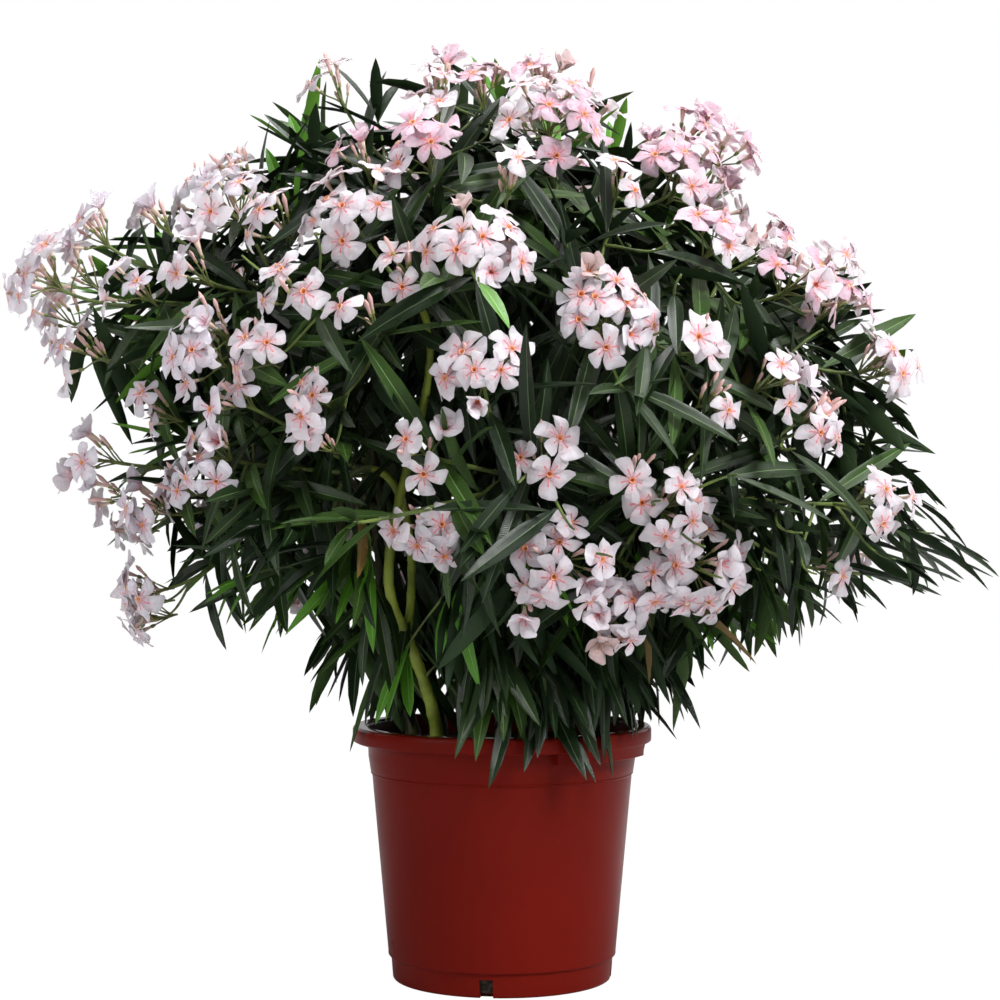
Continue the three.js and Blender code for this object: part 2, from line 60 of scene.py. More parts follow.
# ---- the frame's sizes ----

POT = dict(height=252, rim=149, rim_depth=16, neck=134, shoulder=131, shoulder_height=205, foot=109,
           foot_top=110.5, foot_height=23, step=113.5, wall=3, floor=4)
GRIP = dict(bearings=(46, 226), span=50, drop=10, edge=0.14)
LIP_DEPTH = 2.6  # the rim's uppermost mm, worn glossy
POT_EDGE = 32  # the pot's faces that meet at more than this many degrees keep a crisp edge
DRAIN = dict(bearings=(-8, 82, 172, 262), width=13, height=18, inset=2, half_depth=9)
COMPOST_TOP = 230
COMPOST_MOUND = 6  # how much higher its middle is
CRUMBS = ((2.6, 60, 1), (1.6, 17, 2), (1.3, 6.5, 3))  # the height, size and seed of each of its ripples
GAP = 0.3  # between the compost and a stem's foot

# The crown's reach from its centre by elevation, on the left and on the right, and its depth's share of that.
CROWN_CENTRE = np.array([0.0, 0.0, 600.0])
REACH_ELEVATIONS = (-72, -52, -35, -22, -10, 3, 12, 25, 40, 60, 80)
REACH_LEFT = (372, 352, 376, 425, 405, 415, 462, 405, 348, 356, 342)
REACH_RIGHT = (378, 376, 420, 540, 430, 420, 385, 335, 318, 306, 342)
DEPTH_SHARE = 0.93

# The masses of foliage: ring, elevation, turn, places. Then the shares of the reach at which a bough enters
# a mass, its heart lies and its own stem ends.
RINGS = (("low", -28, 0, 8), ("middle", 15, 22.5, 8), ("high", 54, 36, 5), ("top", 90, 0, 1))
MASS = dict(entry=0.5, heart=0.74, end=0.62)
OUTER = dict(foot_ring=88, fork_ring=142, fork_height=365, foot_radius=6.4, fork_radius=5.0)
INNER = dict(foot_ring=26, fork_ring=36, fork_height=520, foot_radius=7.4, fork_radius=5.4)
OUTER_STEMS = 8
STEM = dict(flare=0.35, flare_share=0.2, leaving=58)
BOUGH = dict(start=4.2, end=3.3, side_start=22, side_angle=48, lift=0.5)
TANGENT = dict(start=0.3, end=0.35)
TWIG = dict(first=0.15, lift=0.4)
TIPS = dict(count=104, lowest=-50, clearance=85, inset=78, inset_least=0.75, inset_spread=0.5,
            behind=0.1, flowering_share=0.55, fewest_flowers=3, more_flowers=8)
EYE = dict(distance=2350, height=476, roundness=0.86, inset=34, edge_share=0.8, most_share=0.96)
EYE_POINT = np.array([0, -EYE["distance"], EYE["height"]])

# The trusses of the front, as seen from the eye: right of centre, height, open flowers.
FRONT_TRUSSES = (
    # the left flank, from its top down
    (-182, 915, 2), (-300, 782, 8), (-378, 768, 2), (-432, 744, 4), (-484, 698, 8), (-342, 716, 3),
    (-235, 688, 4), (-446, 622, 4), (-328, 622, 6), (-290, 568, 3), (-206, 572, 3), (-312, 508, 6),
    (-432, 508, 4), (-370, 448, 5), (-376, 366, 5),
    # the middle, from the top down
    (-75, 905, 3), (55, 882, 12), (-85, 850, 6), (-172, 780, 9), (-32, 738, 10), (118, 660, 9),
    (-22, 596, 6), (-88, 512, 3), (45, 505, 3), (-85, 425, 4), (65, 392, 9), (125, 350, 5),
    # the right flank, from its top down
    (200, 818, 12), (238, 745, 6), (325, 700, 10), (222, 630, 3), (408, 610, 5), (298, 590, 4),
    (340, 540, 3), (405, 462, 5), (180, 450, 6), (350, 388, 2), (215, 385, 8),
)
# Finer shoots between those trusses, most with a few flowers, in the same terms.
FRONT_SINGLES = (
    (-157, 838, 2), (-147, 661, 1), (-107, 714, 2), (-377, 556, 2), (-197, 516, 1), (-400, 690, 3),
    (-250, 770, 4), (-270, 620, 3), (5, 810, 1), (133, 811, 2), (10, 745, 1), (148, 486, 1),
    (160, 380, 5), (90, 690, 3), (233, 571, 1), (353, 561, 1), (285, 735, 3), (365, 672, 3),
    (236, 800, 5), (172, 846, 3), (-472, 660, 4), (-455, 705, 3), (-425, 468, 2), (-352, 470, 3),
    (-320, 650, 3), (-72, 926, 2), (-22, 916, 3), (46, 926, 4), (92, 898, 3), (206, 862, 4),
    (242, 840, 4), (-292, 818, 4), (-376, 352, 3), (-398, 430, 1), (302, 748, 2), (110, 330, 3),
    (28, 352, 2), (-228, 440, 0), (-326, 798, 3), (416, 602, 3), (354, 712, 3), (-372, 336, 2),
    (-188, 402, 0), (-270, 470, 0),
)

# ---- arithmetic ----


def unit(v):
    """Vectors divided by their lengths."""
    return v / np.maximum(np.linalg.norm(v, axis=-1, keepdims=True), 1e-9)


def between(first, last, share):
    """The value at a share of the way from the first to the last."""
    return first + (last - first) * share


def across_of(v, w):
    """The part of w that is square to v, as unit vectors."""
    return unit(w - np.sum(w * v, axis=-1, keepdims=True) * v)


def direction(bearing, elevation=0.0):
    """The unit vector at a bearing and an elevation in degrees: sine and cosine of both."""
    b, e = np.radians(bearing), np.radians(elevation)
    return np.stack([np.sin(b) * np.cos(e), -np.cos(b) * np.cos(e), np.sin(e) + 0 * b], axis=-1)


def chance(a, b, c):
    """A repeatable number from 0 to 1 for three whole-number keys: multiplied by odd numbers, then mixed."""
    mask = np.uint64(0xFFFFFFFF)
    a, b, c = (np.asarray(key, dtype=np.uint64) for key in (a, b, c))
    one = np.uint64(1)
    h = ((a + one) * np.uint64(0x9E3779B1) & mask) ^ ((b + one) * np.uint64(0x85EBCA6B) & mask)
    h = h ^ ((c + one) * np.uint64(0xC2B2AE35) & mask)
    h = ((h ^ (h >> np.uint64(15))) * np.uint64(0x2C1B3C6D)) & mask
    h = ((h ^ (h >> np.uint64(12))) * np.uint64(0x297A2D39)) & mask
    return (h ^ (h >> np.uint64(15))).astype(float) / 2.0 ** 32


def ripple(points, size, seed):
    """Smooth bumps of about this size in mm, mostly from -1 to 1: five seeded sine waves, over three."""
    total = 0.0
    for wave in range(5):
        way = unit(np.array([chance(seed, wave, k) - 0.5 for k in range(3)]))
        pitch = size * (0.7 + 0.6 * float(chance(seed, wave, 4)))
        total = total + np.sin(points @ way * (2 * np.pi / pitch) + 6.28 * chance(seed, wave, 5))
    return total / 3


def reach_along(d):
    """How far the crown reaches along unit vectors: read off by elevation, and shared by side and depth."""
    elevation = np.degrees(np.arcsin(np.clip(d[..., 2], -1, 1)))
    flat = np.maximum(np.hypot(d[..., 0], d[..., 1]), 1e-6)
    left = np.interp(elevation, REACH_ELEVATIONS, REACH_LEFT)
    right = np.interp(elevation, REACH_ELEVATIONS, REACH_RIGHT)
    side = (left + right) / 2 + (right - left) / 2 * d[..., 0] / flat
    return side * (1 - (1 - DEPTH_SHARE) * (d[..., 1] / flat) ** 2 * flat)


def crown_point(d, share):
    """The point at a share of the crown's reach along a unit vector."""
    return CROWN_CENTRE + d * reach_along(d) * share


# ---- curves: n cubic curves are an array (n, 4, 3) of their corners ----


def along_curves(corners, t):
    """Points of cubic curves at t (n, m): the four corners weighted by (1-t)^3, 3t(1-t)^2, 3t^2(1-t), t^3."""
    s = 1 - t
    weights = np.stack([s ** 3, 3 * t * s * s, 3 * t * t * s, t ** 3], axis=-1)
    return np.einsum("nmk,nkc->nmc", weights, corners)


def heading_on(corners, t):
    """Headings of cubic curves at t (n, m): the three sides weighted by (1-t)^2, 2t(1-t), t^2."""
    s = 1 - t
    weights = np.stack([s * s, 2 * t * s, t * t], axis=-1)
    return unit(np.einsum("nmk,nkc->nmc", weights, np.diff(corners, axis=1)))


def length_table(corners, samples=25):
    """Each curve's t and length so far at evenly spaced samples, as chords added up."""
    t = np.linspace(0, 1, samples)
    points = along_curves(corners, np.broadcast_to(t, (len(corners), samples)))
    chords = np.linalg.norm(np.diff(points, axis=1), axis=-1)
    return t, np.concatenate([np.zeros((len(corners), 1)), np.cumsum(chords, axis=1)], axis=1)


def at_length(corners, back):
    """The t of each curve (n, m) where the length left to its end is back (n, m), and its length (n,)."""
    t, so_far = length_table(corners)
    whole = so_far[:, -1]
    found = [np.interp(w - b, lengths, t) for w, b, lengths in zip(whole, back, so_far)]
    return np.array(found), whole


def spanning(start, leaving, end, arriving):
    """A curve from one point and heading to another, its end tangents in proportion to its span."""
    span = np.linalg.norm(end - start)
    first_tangent, last_tangent = leaving * span * TANGENT["start"], arriving * span * TANGENT["end"]
    return np.array([start, start + first_tangent, end - last_tangent, end])


# ---- the skeleton, by the frame's rule ----


def from_the_eye(across, height, further=0.0):
    """Where a point of the crown's front, given as seen from the eye, stands in space.

    Its depth is that of a rounded front, by the point's share of the reach. Towards the crown's edge it
    stands back by up to the further mm.
    """
    seen = np.array([across, 0.0, height - CROWN_CENTRE[2]])
    share = min(np.linalg.norm(seen) / reach_along(unit(seen)), EYE["most_share"])
    depth = reach_along(direction(0)) * math.sqrt(1 - share ** 2) * EYE["roundness"]
    depth -= further * np.interp(share, (EYE["edge_share"], EYE["most_share"]), (0, 1))
    nearer = (EYE["distance"] - depth) / EYE["distance"]
    truss = np.array([across * nearer, -depth, EYE["height"] + (height - EYE["height"]) * nearer])
    return truss - unit(truss - CROWN_CENTRE) * EYE["inset"]


def make_tips():
    """The main twigs' tips with their open flowers: the front's trusses, then a spiral over the crown."""
    tips = [(from_the_eye(across, height), flowers) for across, height, flowers in FRONT_TRUSSES]
    lowest = math.sin(math.radians(TIPS["lowest"]))
    for i in range(TIPS["count"]):
        rise = 1 - (i + 0.5) / TIPS["count"] * (1 - lowest)
        d = direction(i * GOLDEN, math.degrees(math.asin(rise)))
        inset = TIPS["inset"] * (TIPS["inset_least"] + TIPS["inset_spread"] * chance(i, 1, 7))
        at = crown_point(d, 1) - d * inset
        if any(np.linalg.norm(tip - at) < TIPS["clearance"] for tip, _ in tips):
            continue
        in_flower = d[1] > TIPS["behind"] and chance(i, 2, 7) < TIPS["flowering_share"]
        number = TIPS["fewest_flowers"] + int(chance(i, 3, 7) * TIPS["more_flowers"])
        tips.append((at, number if in_flower else 0))
    return tips


def make_masses():
    """The masses' places: where a bough enters each, its heart, and where its own stem ends."""
    masses = []
    for ring, elevation, turn, places in RINGS:
        for i in range(places):
            bearing = turn + 360 / places * i
            d = direction(bearing, elevation)
            where = {key: crown_point(d, share) for key, share in MASS.items()}
            masses.append(dict(ring=ring, order=i, bearing=bearing, tips=[], **where))
    return masses


def make_stem(kind, bearing):
    """A stem's curve from its foot on the compost to its fork: upright, then leaning out."""
    foot = direction(bearing) * kind["foot_ring"] + UP * (COMPOST_TOP + GAP)
    fork = direction(bearing) * kind["fork_ring"] + UP * kind["fork_height"]
    leaving = direction(bearing, STEM["leaving"])
    rise = kind["fork_height"] - COMPOST_TOP - GAP
    return np.array([foot, foot + UP * rise * TANGENT["start"], fork - leaving * rise * TANGENT["end"], fork])


def make_bough(stem, order, mass):
    """A bough's curve: the first goes on from the stem's end, a further one leaves its axis lower down.

    The mass is told the heading at which its bough enters it.
    """
    heading = unit(unit(mass["end"] - mass["entry"]) + UP * BOUGH["lift"])
    back = np.array([[BOUGH["side_start"] * order]])
    t, _ = at_length(stem[None], back)
    at, leaving = along_curves(stem[None], t)[0, 0], heading_on(stem[None], t)[0, 0]
    if order > 0:
        side = across_of(leaving, mass["entry"] - at)
        angle = math.radians(BOUGH["side_angle"])
        leaving = leaving * math.cos(angle) + side * math.sin(angle)
    mass["heading"] = heading
    return spanning(at, leaving, mass["entry"], heading)


def grow_skeleton():
    """Stems, boughs, the stems inside the masses, and the main twigs, each as curves with their facts."""
    masses = make_masses()
    for at, flowers in make_tips():
        nearest = min(masses, key=lambda mass: np.linalg.norm(at - mass["heart"]))
        nearest["tips"].append((at, flowers))
    upper = [m for m in masses if m["ring"] in ("high", "top")]
    on_the_right = [m for m in upper if 0 < m["bearing"] <= 180]
    on_the_left = [m for m in upper if not 0 < m["bearing"] <= 180]
    families = []
    for i in range(OUTER_STEMS):
        fed = [m for ring in ("middle", "low") for m in masses if m["ring"] == ring and m["order"] == i]
        families.append((OUTER, 360 / OUTER_STEMS * i, fed))
    families += [(INNER, 90, on_the_right), (INNER, 270, on_the_left)]
    stems, stem_kinds, boughs, bough_starts = [], [], [], []
    for kind, bearing, fed in families:
        stem = make_stem(kind, bearing)
        stems.append(stem)
        stem_kinds.append((kind["foot_radius"], kind["fork_radius"]))
        for order, mass in enumerate(fed):
            boughs.append(make_bough(stem, order, mass))
            bough_starts.append(kind["fork_radius"] if order == 0 else BOUGH["start"])
    hearts, twigs, flowers = [], [], []
    for mass in masses:
        start, end = mass["entry"], mass["end"]
        bend = start + mass["heading"] * np.linalg.norm(end - start) / 2
        heart = np.array([start, (start + 2 * bend) / 3, (end + 2 * bend) / 3, end])
        hearts.append(heart)
        for k, (at, open_flowers) in enumerate(mass["tips"]):
            share = TWIG["first"] + (1 - TWIG["first"]) * (k + 0.5) / len(mass["tips"])
            start_t, _ = at_length(heart[None], length_table(heart[None])[1][:, -1:] * (1 - share))
            root = along_curves(heart[None], start_t)[0, 0]
            ending = unit(unit(at - CROWN_CENTRE) + UP * TWIG["lift"])
            twigs.append(spanning(root, unit(at - root), at, ending))
            flowers.append(open_flowers)
    return (np.array(stems), np.array(stem_kinds), np.array(boughs), np.array(bough_starts),
            np.array(hearts), np.array(twigs), np.array(flowers))


# ---- finer shoots, by the same rule again ----

# Each shell of finer tips: the places on its spiral, how far inside the reach they lie, the least distance
# between tips, and the lowest elevation.
SHELLS = ((420, 62, 58, -62), (300, 128, 74, -50))
EDGE_SPREAD = 90  # mm, the most by which the front's shoots stand back at the crown's edge

# Shoots leave a twig at one of its places between these shares of it. A place counts as further away by the
# depth_weight for each mm that it lies less than depth_start further in than the shoot's tip. Each shell is
# turned by its shell_turn in degrees from the last, and the inset of its tips varies by the inset shares.
SHOOT = dict(leaves_at=(0.3, 0.8), places=6, lift=0.35, shell_turn=40, inset_least=0.7, inset_more=0.6,
             depth_start=40, depth_weight=1.5)

# How near to a truss's line of sight no leaf may stand before it, in mm, and how much more for each flower;
# how far behind its heart that begins, and how far its heart lies beyond the twig's end.
TRUSS_CLEARANCE = dict(least=26, each=2.2, behind=4, heart=26)

# The outer stem that is bright green with its two boughs, by their order in the skeleton, and how far leaves
# keep clear of their lines of sight.
GREEN_STEM = 7
GREEN_BOUGHS = (14, 15)
GREEN_CLEARANCE = 12

# Short leafy shoots low on each outer stem: where along it, to which side, how far out they end. Then how far
# they rise, how much their turn varies, and the elevations of their two ends.
LOW_SHOOTS = ((0.3, -24, 112), (0.5, 22, 126), (0.75, -8, 134))
LOW_SHOOT = dict(rise=34, turn_least=0.6, turn_more=0.8, leaving=50, ending=-10)


def make_shoots(twigs):
    """Shoots between the main twigs, and their flowers: the front's own, then tips on spirals at two depths.

    Each is fed by the twig that comes nearest, and rather by a place further in than by one beside it.
    """
    fine = [from_the_eye(across, height, EDGE_SPREAD * chance(i, 0, 15))
            for i, (across, height, _) in enumerate(FRONT_SINGLES)]
    flowers = [number for _, _, number in FRONT_SINGLES]
    tips = [twig[3] for twig in twigs] + fine
    for shell, (count, inset, clearance, lowest) in enumerate(SHELLS):
        low = math.sin(math.radians(lowest))
        for i in range(count):
            rise = 1 - (i + 0.5) / count * (1 - low)
            d = direction(i * GOLDEN + SHOOT["shell_turn"] * shell, math.degrees(math.asin(rise)))
            varied = SHOOT["inset_least"] + SHOOT["inset_more"] * chance(i, shell, 11)
            at = crown_point(d, 1) - d * inset * varied
            if np.min(np.linalg.norm(np.array(tips) - at, axis=1)) > clearance:
                tips.append(at)
                fine.append(at)
    fine = np.array(fine)
    shares = np.linspace(*SHOOT["leaves_at"], SHOOT["places"])
    roots = along_curves(twigs, np.broadcast_to(shares, (len(twigs), len(shares)))).reshape(-1, 3)
    gaps = np.linalg.norm(fine[:, None] - roots[None], axis=-1)
    from_centre = [np.linalg.norm(points - CROWN_CENTRE, axis=1) for points in (fine, roots)]
    further_out = from_centre[1][None] - from_centre[0][:, None]
    too_far_out = np.maximum(further_out + SHOOT["depth_start"], 0)
    nearest = np.argmin(gaps + SHOOT["depth_weight"] * too_far_out, axis=1)
    curves = []
    for at, root in zip(fine, roots[nearest]):
        ending = unit(unit(at - CROWN_CENTRE) + UP * SHOOT["lift"])
        curves.append(spanning(root, unit(at - root), at, ending))
    flowers += [0] * (len(curves) - len(flowers))
    return np.array(curves), np.array(flowers)


def make_low_shoots(stems):
    """Short shoots low on the outer stems, whose leaves fill the place above the compost and the rim."""
    curves = []
    for order, stem in enumerate(stems[:OUTER_STEMS]):
        for place, (share, turn, ring) in enumerate(LOW_SHOOTS):
            root = along_curves(stem[None], np.array([[share]]))[0, 0]
            varied = LOW_SHOOT["turn_least"] + LOW_SHOOT["turn_more"] * chance(order, place, 14)
            bearing = math.degrees(math.atan2(root[0], -root[1])) + turn * varied
            at = direction(bearing) * ring + UP * (root[2] + LOW_SHOOT["rise"])
            leaving, ending = (direction(bearing, LOW_SHOOT[end]) for end in ("leaving", "ending"))
            curves.append(spanning(root, leaving, at, ending))
    return np.array(curves)


# ---- shapes: every solid thing is rings between two end points ----

# Zones are the faces' material numbers, and the chart is each point's place along and across its body.
Shape = namedtuple("Shape", "points quads triangles quad_zones triangle_zones chart")


def spindles(first, rings, last, zones=None, chart=None):
    """Closed bodies from a first point (n, 3), rings (n, stations, around, 3) and a last point (n, 3).

    Each ring runs anticlockwise about the way from first to last. Neighbouring rings are joined by quads and
    the end rings to the end points by triangles. zones (stations + 1, around) gives each band's material.
    """
    count, stations, around, _ = rings.shape
    points = np.concatenate([first[:, None], rings.reshape(count, -1, 3), last[:, None]], axis=1)
    size = points.shape[1]
    here = np.arange(around)
    ahead = (here + 1) % around
    ring = 1 + around * np.arange(stations)[:, None]
    bands = np.stack([ring[:-1] + here, ring[:-1] + ahead, ring[1:] + ahead, ring[1:] + here], axis=-1)
    root = np.stack([0 * here, 1 + ahead, 1 + here], axis=-1)
    tip = np.stack([0 * here + size - 1, ring[-1] + here, ring[-1] + ahead], axis=-1)
    offsets = size * np.arange(count)[:, None, None]
    quads = (bands.reshape(1, -1, 4) + offsets).reshape(-1, 4)
    triangles = (np.concatenate([root, tip])[None] + offsets).reshape(-1, 3)
    if zones is None:
        zones = np.zeros((stations + 1, around), dtype=int)
    quad_zones = np.tile(zones[1:-1].ravel(), count)
    triangle_zones = np.tile(np.concatenate([zones[0], zones[-1]]), count)
    if chart is None:
        chart = np.zeros((size, 2))
    charts = np.tile(chart, (count, 1))
    return Shape(points.reshape(-1, 3), quads, triangles, quad_zones, triangle_zones, charts)


def joined(shapes):
    """Several shapes as one: their points in a row and their faces renumbered to match."""
    starts = np.cumsum([0] + [len(shape.points) for shape in shapes[:-1]])
    return Shape(
        np.concatenate([s.points for s in shapes]),
        np.concatenate([s.quads + at for s, at in zip(shapes, starts)]),
        np.concatenate([s.triangles + at for s, at in zip(shapes, starts)]),
        np.concatenate([s.quad_zones for s in shapes]),
        np.concatenate([s.triangle_zones for s in shapes]),
        np.concatenate([s.chart for s in shapes]),
    )


def rezoned(shape, zone):
    """The same shape with all its faces in one zone."""
    quad_zones = np.full_like(shape.quad_zones, zone)
    return shape._replace(quad_zones=quad_zones, triangle_zones=np.full_like(shape.triangle_zones, zone))


# The knots of limbs and the ripples of bark in mm, and how rough the bark is as a share of the radius.
BARK = dict(knot=0.5, knot_pitch=26.0, knot_width=2.2, ripple=14, rough=0.05)


def tubes(corners, radius, stations, around, rough=0.0, seed=0, knot=0.0):
    """Round limbs along cubic curves: at each station a circle of radius (n, stations) square to the curve.

    The circle is roughened by ripples and swells at evenly spaced knots, where whorls of leaves stood, by
    knot * exp(-(place / width)^2).
    """
    count = len(corners)
    t = np.broadcast_to(np.linspace(0, 1, stations), (count, stations))
    centre, heading = along_curves(corners, t), heading_on(corners, t)
    chord = unit(corners[:, 3] - corners[:, 0])
    slanted = UP + np.array([0.31, 0.17, 0.0])  # no limb runs this way
    side = unit(np.cross(chord, slanted))[:, None]
    first_axis = across_of(heading, side)
    second_axis = np.cross(heading, first_axis)
    turn = np.linspace(0, 2 * np.pi, around, endpoint=False)
    out = (first_axis[:, :, None] * np.cos(turn)[:, None] + second_axis[:, :, None] * np.sin(turn)[:, None])
    size = radius[:, :, None]
    if knot:
        steps = np.linalg.norm(np.diff(centre, axis=1), axis=-1)
        so_far = np.concatenate([np.zeros((count, 1)), np.cumsum(steps, axis=1)], axis=1)
        place = (so_far % BARK["knot_pitch"]) - BARK["knot_pitch"] / 2
        size = size + (knot * np.exp(-(place / BARK["knot_width"]) ** 2))[:, :, None]
    if rough:
        skin = centre[:, :, None] + out * radius[:, :, None, None]
        size = size * (1 + rough * ripple(skin, BARK["ripple"], seed))
    rings = centre[:, :, None] + out * size[..., None]
    first, last = centre[:, 0] - heading[:, 0] * 0.3, centre[:, -1] + heading[:, -1] * radius[:, -1:] * 0.5
    return spindles(first, rings, last)


# A blade's outline: by station, its share of the length, width and shift; by point round it, its place
# across, lift and thickness; and the zone of each face.
Outline = namedtuple("Outline", "shares widths shifts across lifts thickness zones")
Blade = namedtuple("Blade", "root along top length width bend fold twist wave")
FRILL = dict(along=7, twist=9, across=2)  # how fast a blade's frill goes


def curl_of(b):
    """Each blade's bend (n, 1), kept from being nought, which its arc divides by."""
    return np.where(np.abs(b.bend) < 0.01, 0.01, b.bend)[:, None]


def blades(b, outline):
    """Thin closed blades, such as leaves and petals, from their roots along arcs.

    The centre line at share s of the length turns down by bend*s, so it runs out by sin(bend*s)/bend and
    down by (1-cos(bend*s))/bend. Its two halves rise by the fold, and the whole twists as it goes.
    """
    s = outline.shares[None]
    v = outline.across
    turned = b.bend[:, None] * s
    curl = curl_of(b)
    out = np.sin(curl * s) / curl * b.length[:, None]
    down = (1 - np.cos(curl * s)) / curl * b.length[:, None]
    side = np.cross(b.top, b.along)
    rise = b.top[:, None] * np.cos(turned)[..., None] + b.along[:, None] * np.sin(turned)[..., None]
    spin = (b.twist[:, None] * s)[..., None]
    flat = side[:, None] * np.cos(spin) + rise * np.sin(spin)
    rise = rise * np.cos(spin) - side[:, None] * np.sin(spin)
    centre = b.root[:, None] + b.along[:, None] * out[..., None] - b.top[:, None] * down[..., None]
    half = (b.width[:, None] / 2 * outline.widths)[:, :, None]
    fold, twist, wave = (values[:, None, None] for values in (b.fold, b.twist, b.wave))
    sideways = v * half * np.cos(fold) + (outline.shifts * b.length[:, None])[:, :, None]
    phase = FRILL["along"] * s[..., None] + FRILL["twist"] * twist + FRILL["across"] * v
    frill = wave * np.sin(phase) * v * v
    upwards = np.abs(v) * half * np.sin(fold) + outline.lifts * half + frill * half - outline.thickness
    rings = centre[:, :, None] + flat[:, :, None] * sideways[..., None]
    rings = rings + rise[:, :, None] * upwards[..., None]
    end = blade_tip(b) + flat[:, -1] * (outline.shifts[-1] * b.length)[:, None]
    chart_v = np.broadcast_to((v + 1) / 2, (len(outline.shares), len(v)))
    chart_u = np.broadcast_to(outline.shares[:, None], chart_v.shape)
    rows = np.stack([chart_u, chart_v], -1).reshape(-1, 2)
    chart = np.concatenate([[[0, 0.5]], rows, [[1, 0.5]]])
    return spindles(b.root - b.along * 0.5, rings, end, outline.zones, chart)


def blade_tip(b):
    """Where each blade's centre line ends."""
    curl = curl_of(b)
    return b.root + b.length[:, None] * (b.along * np.sin(curl) - b.top * (1 - np.cos(curl))) / curl


def spun(base, along, length, shares, radii, around, twist=0.0, zones=None):
    """Round bodies on straight axes: circles of radii (n, stations) at shares of the length, and ends."""
    reference = np.where(np.abs(along[:, 2:]) > 0.9, np.array([[1.0, 0.0, 0.0]]), UP[None])
    side = across_of(along, reference)
    other = np.cross(along, side)
    turn = np.linspace(0, 2 * np.pi, around, endpoint=False) + twist * shares[:, None]
    out = side[:, None, None] * np.cos(turn)[..., None] + other[:, None, None] * np.sin(turn)[..., None]
    centre = base[:, None] + along[:, None] * (length[:, None] * shares)[..., None]
    rings = centre[:, :, None] + out * radii[:, :, None, None]
    return spindles(base, rings, base + along * length[:, None], zones)


# ---- leaves ----

# A leaf: its full length and width in mm, the least shares of them that chance gives it, and its least fold.
LEAF = dict(length=126, width=17, shortest=0.84, narrowest=0.85, fold=0.2)
# How much leaves vary by chance: in degrees, how a shoot's whorls are turned, how each leaf is turned and how
# it leans; then the shares of its length and width, and its droop, bend, fold, twist and frill.
VARIED = dict(shoot=50, turn=26, lean=22, length=0.3, width=0.3, droop=0.2, bend=0.5, fold=0.3, twist=1.0,
              wave=0.12)
# Leaves end within the least share and up to more of the crown's reach. One that has to be shortened is taken
# to point outward by no less than outward, and one shortened to less than the shortest share is left out.
LEAF_REACH = dict(least=0.93, more=0.12, outward=0.3, shortest=0.62)
# Below the crown, leaves may hang further: from one elevation to another down, up to this many mm, and to the
# left and right of the sides by shares of that.
FRINGE = dict(start=-36, full=-60, more=78, left=0.45, right=0.2, sides=(-0.42, -0.2, 0.2, 0.42))
CROWN_TOP = 916  # no leaf ends above this, in mm
# Low at the sides the crown is open: these shares of its leaves are missing between these elevations.
OPEN_SIDE = dict(elevations=(-80, -72, -50, -34), left=0.85, right=0.4, sides=(-0.4, -0.22, 0.22, 0.4))
# How far leaves keep above, inside and outside the pot's rim and above the compost, and their lowest point.
LEAF_CLEARANCE = dict(above_rim=5, inside_rim=14, outside_rim=4, above_compost=6, lowest=196)
MIDRIB = 0.055  # half the midrib's width, as a share of half the blade's

LEAF_OUTLINE = Outline(
    shares=np.array([0.045, 0.17, 0.36, 0.58, 0.79, 0.93]),
    widths=np.array([0.14, 0.6, 0.97, 1.0, 0.72, 0.3]),
    shifts=np.zeros(6),
    across=np.array([1.0, 0.52, MIDRIB, -MIDRIB, -0.52, -1.0, 0.0]),
    lifts=np.array([-0.05, 0.07, 0.0, 0.0, 0.07, -0.05, 0.0]),
    thickness=np.array([0.0, 0.0, -0.1, -0.1, 0.0, 0.0, 0.55]),
    zones=np.tile([0, 0, 1, 0, 0, 2, 2], (7, 1)),
)

# How a whorl's leaves stand, by its order down from the tip: length, lean from the shoot, droop, bend.
WHORL_SIZES = np.array([0.62, 0.84, 0.97, 1.0, 1.0, 0.97, 0.95, 0.92])
WHORL_LEANS = np.array([26, 40, 52, 60, 66, 72, 78, 82])
WHORL_DROOPS = np.array([0.0, 0.04, 0.1, 0.16, 0.22, 0.28, 0.34, 0.4])
WHORL_BENDS = np.array([0.1, 0.16, 0.22, 0.26, 0.3, 0.34, 0.36, 0.38])
LOW_HANG = dict(full=340, none=500, more=0.9)  # leaves that grow lower hang down more

Leaves = namedtuple("Leaves", "blade tone")


def width_for(length_share):
    """The share of a leaf's full width that goes with a share of its full length."""
    return 0.55 + 0.45 * length_share


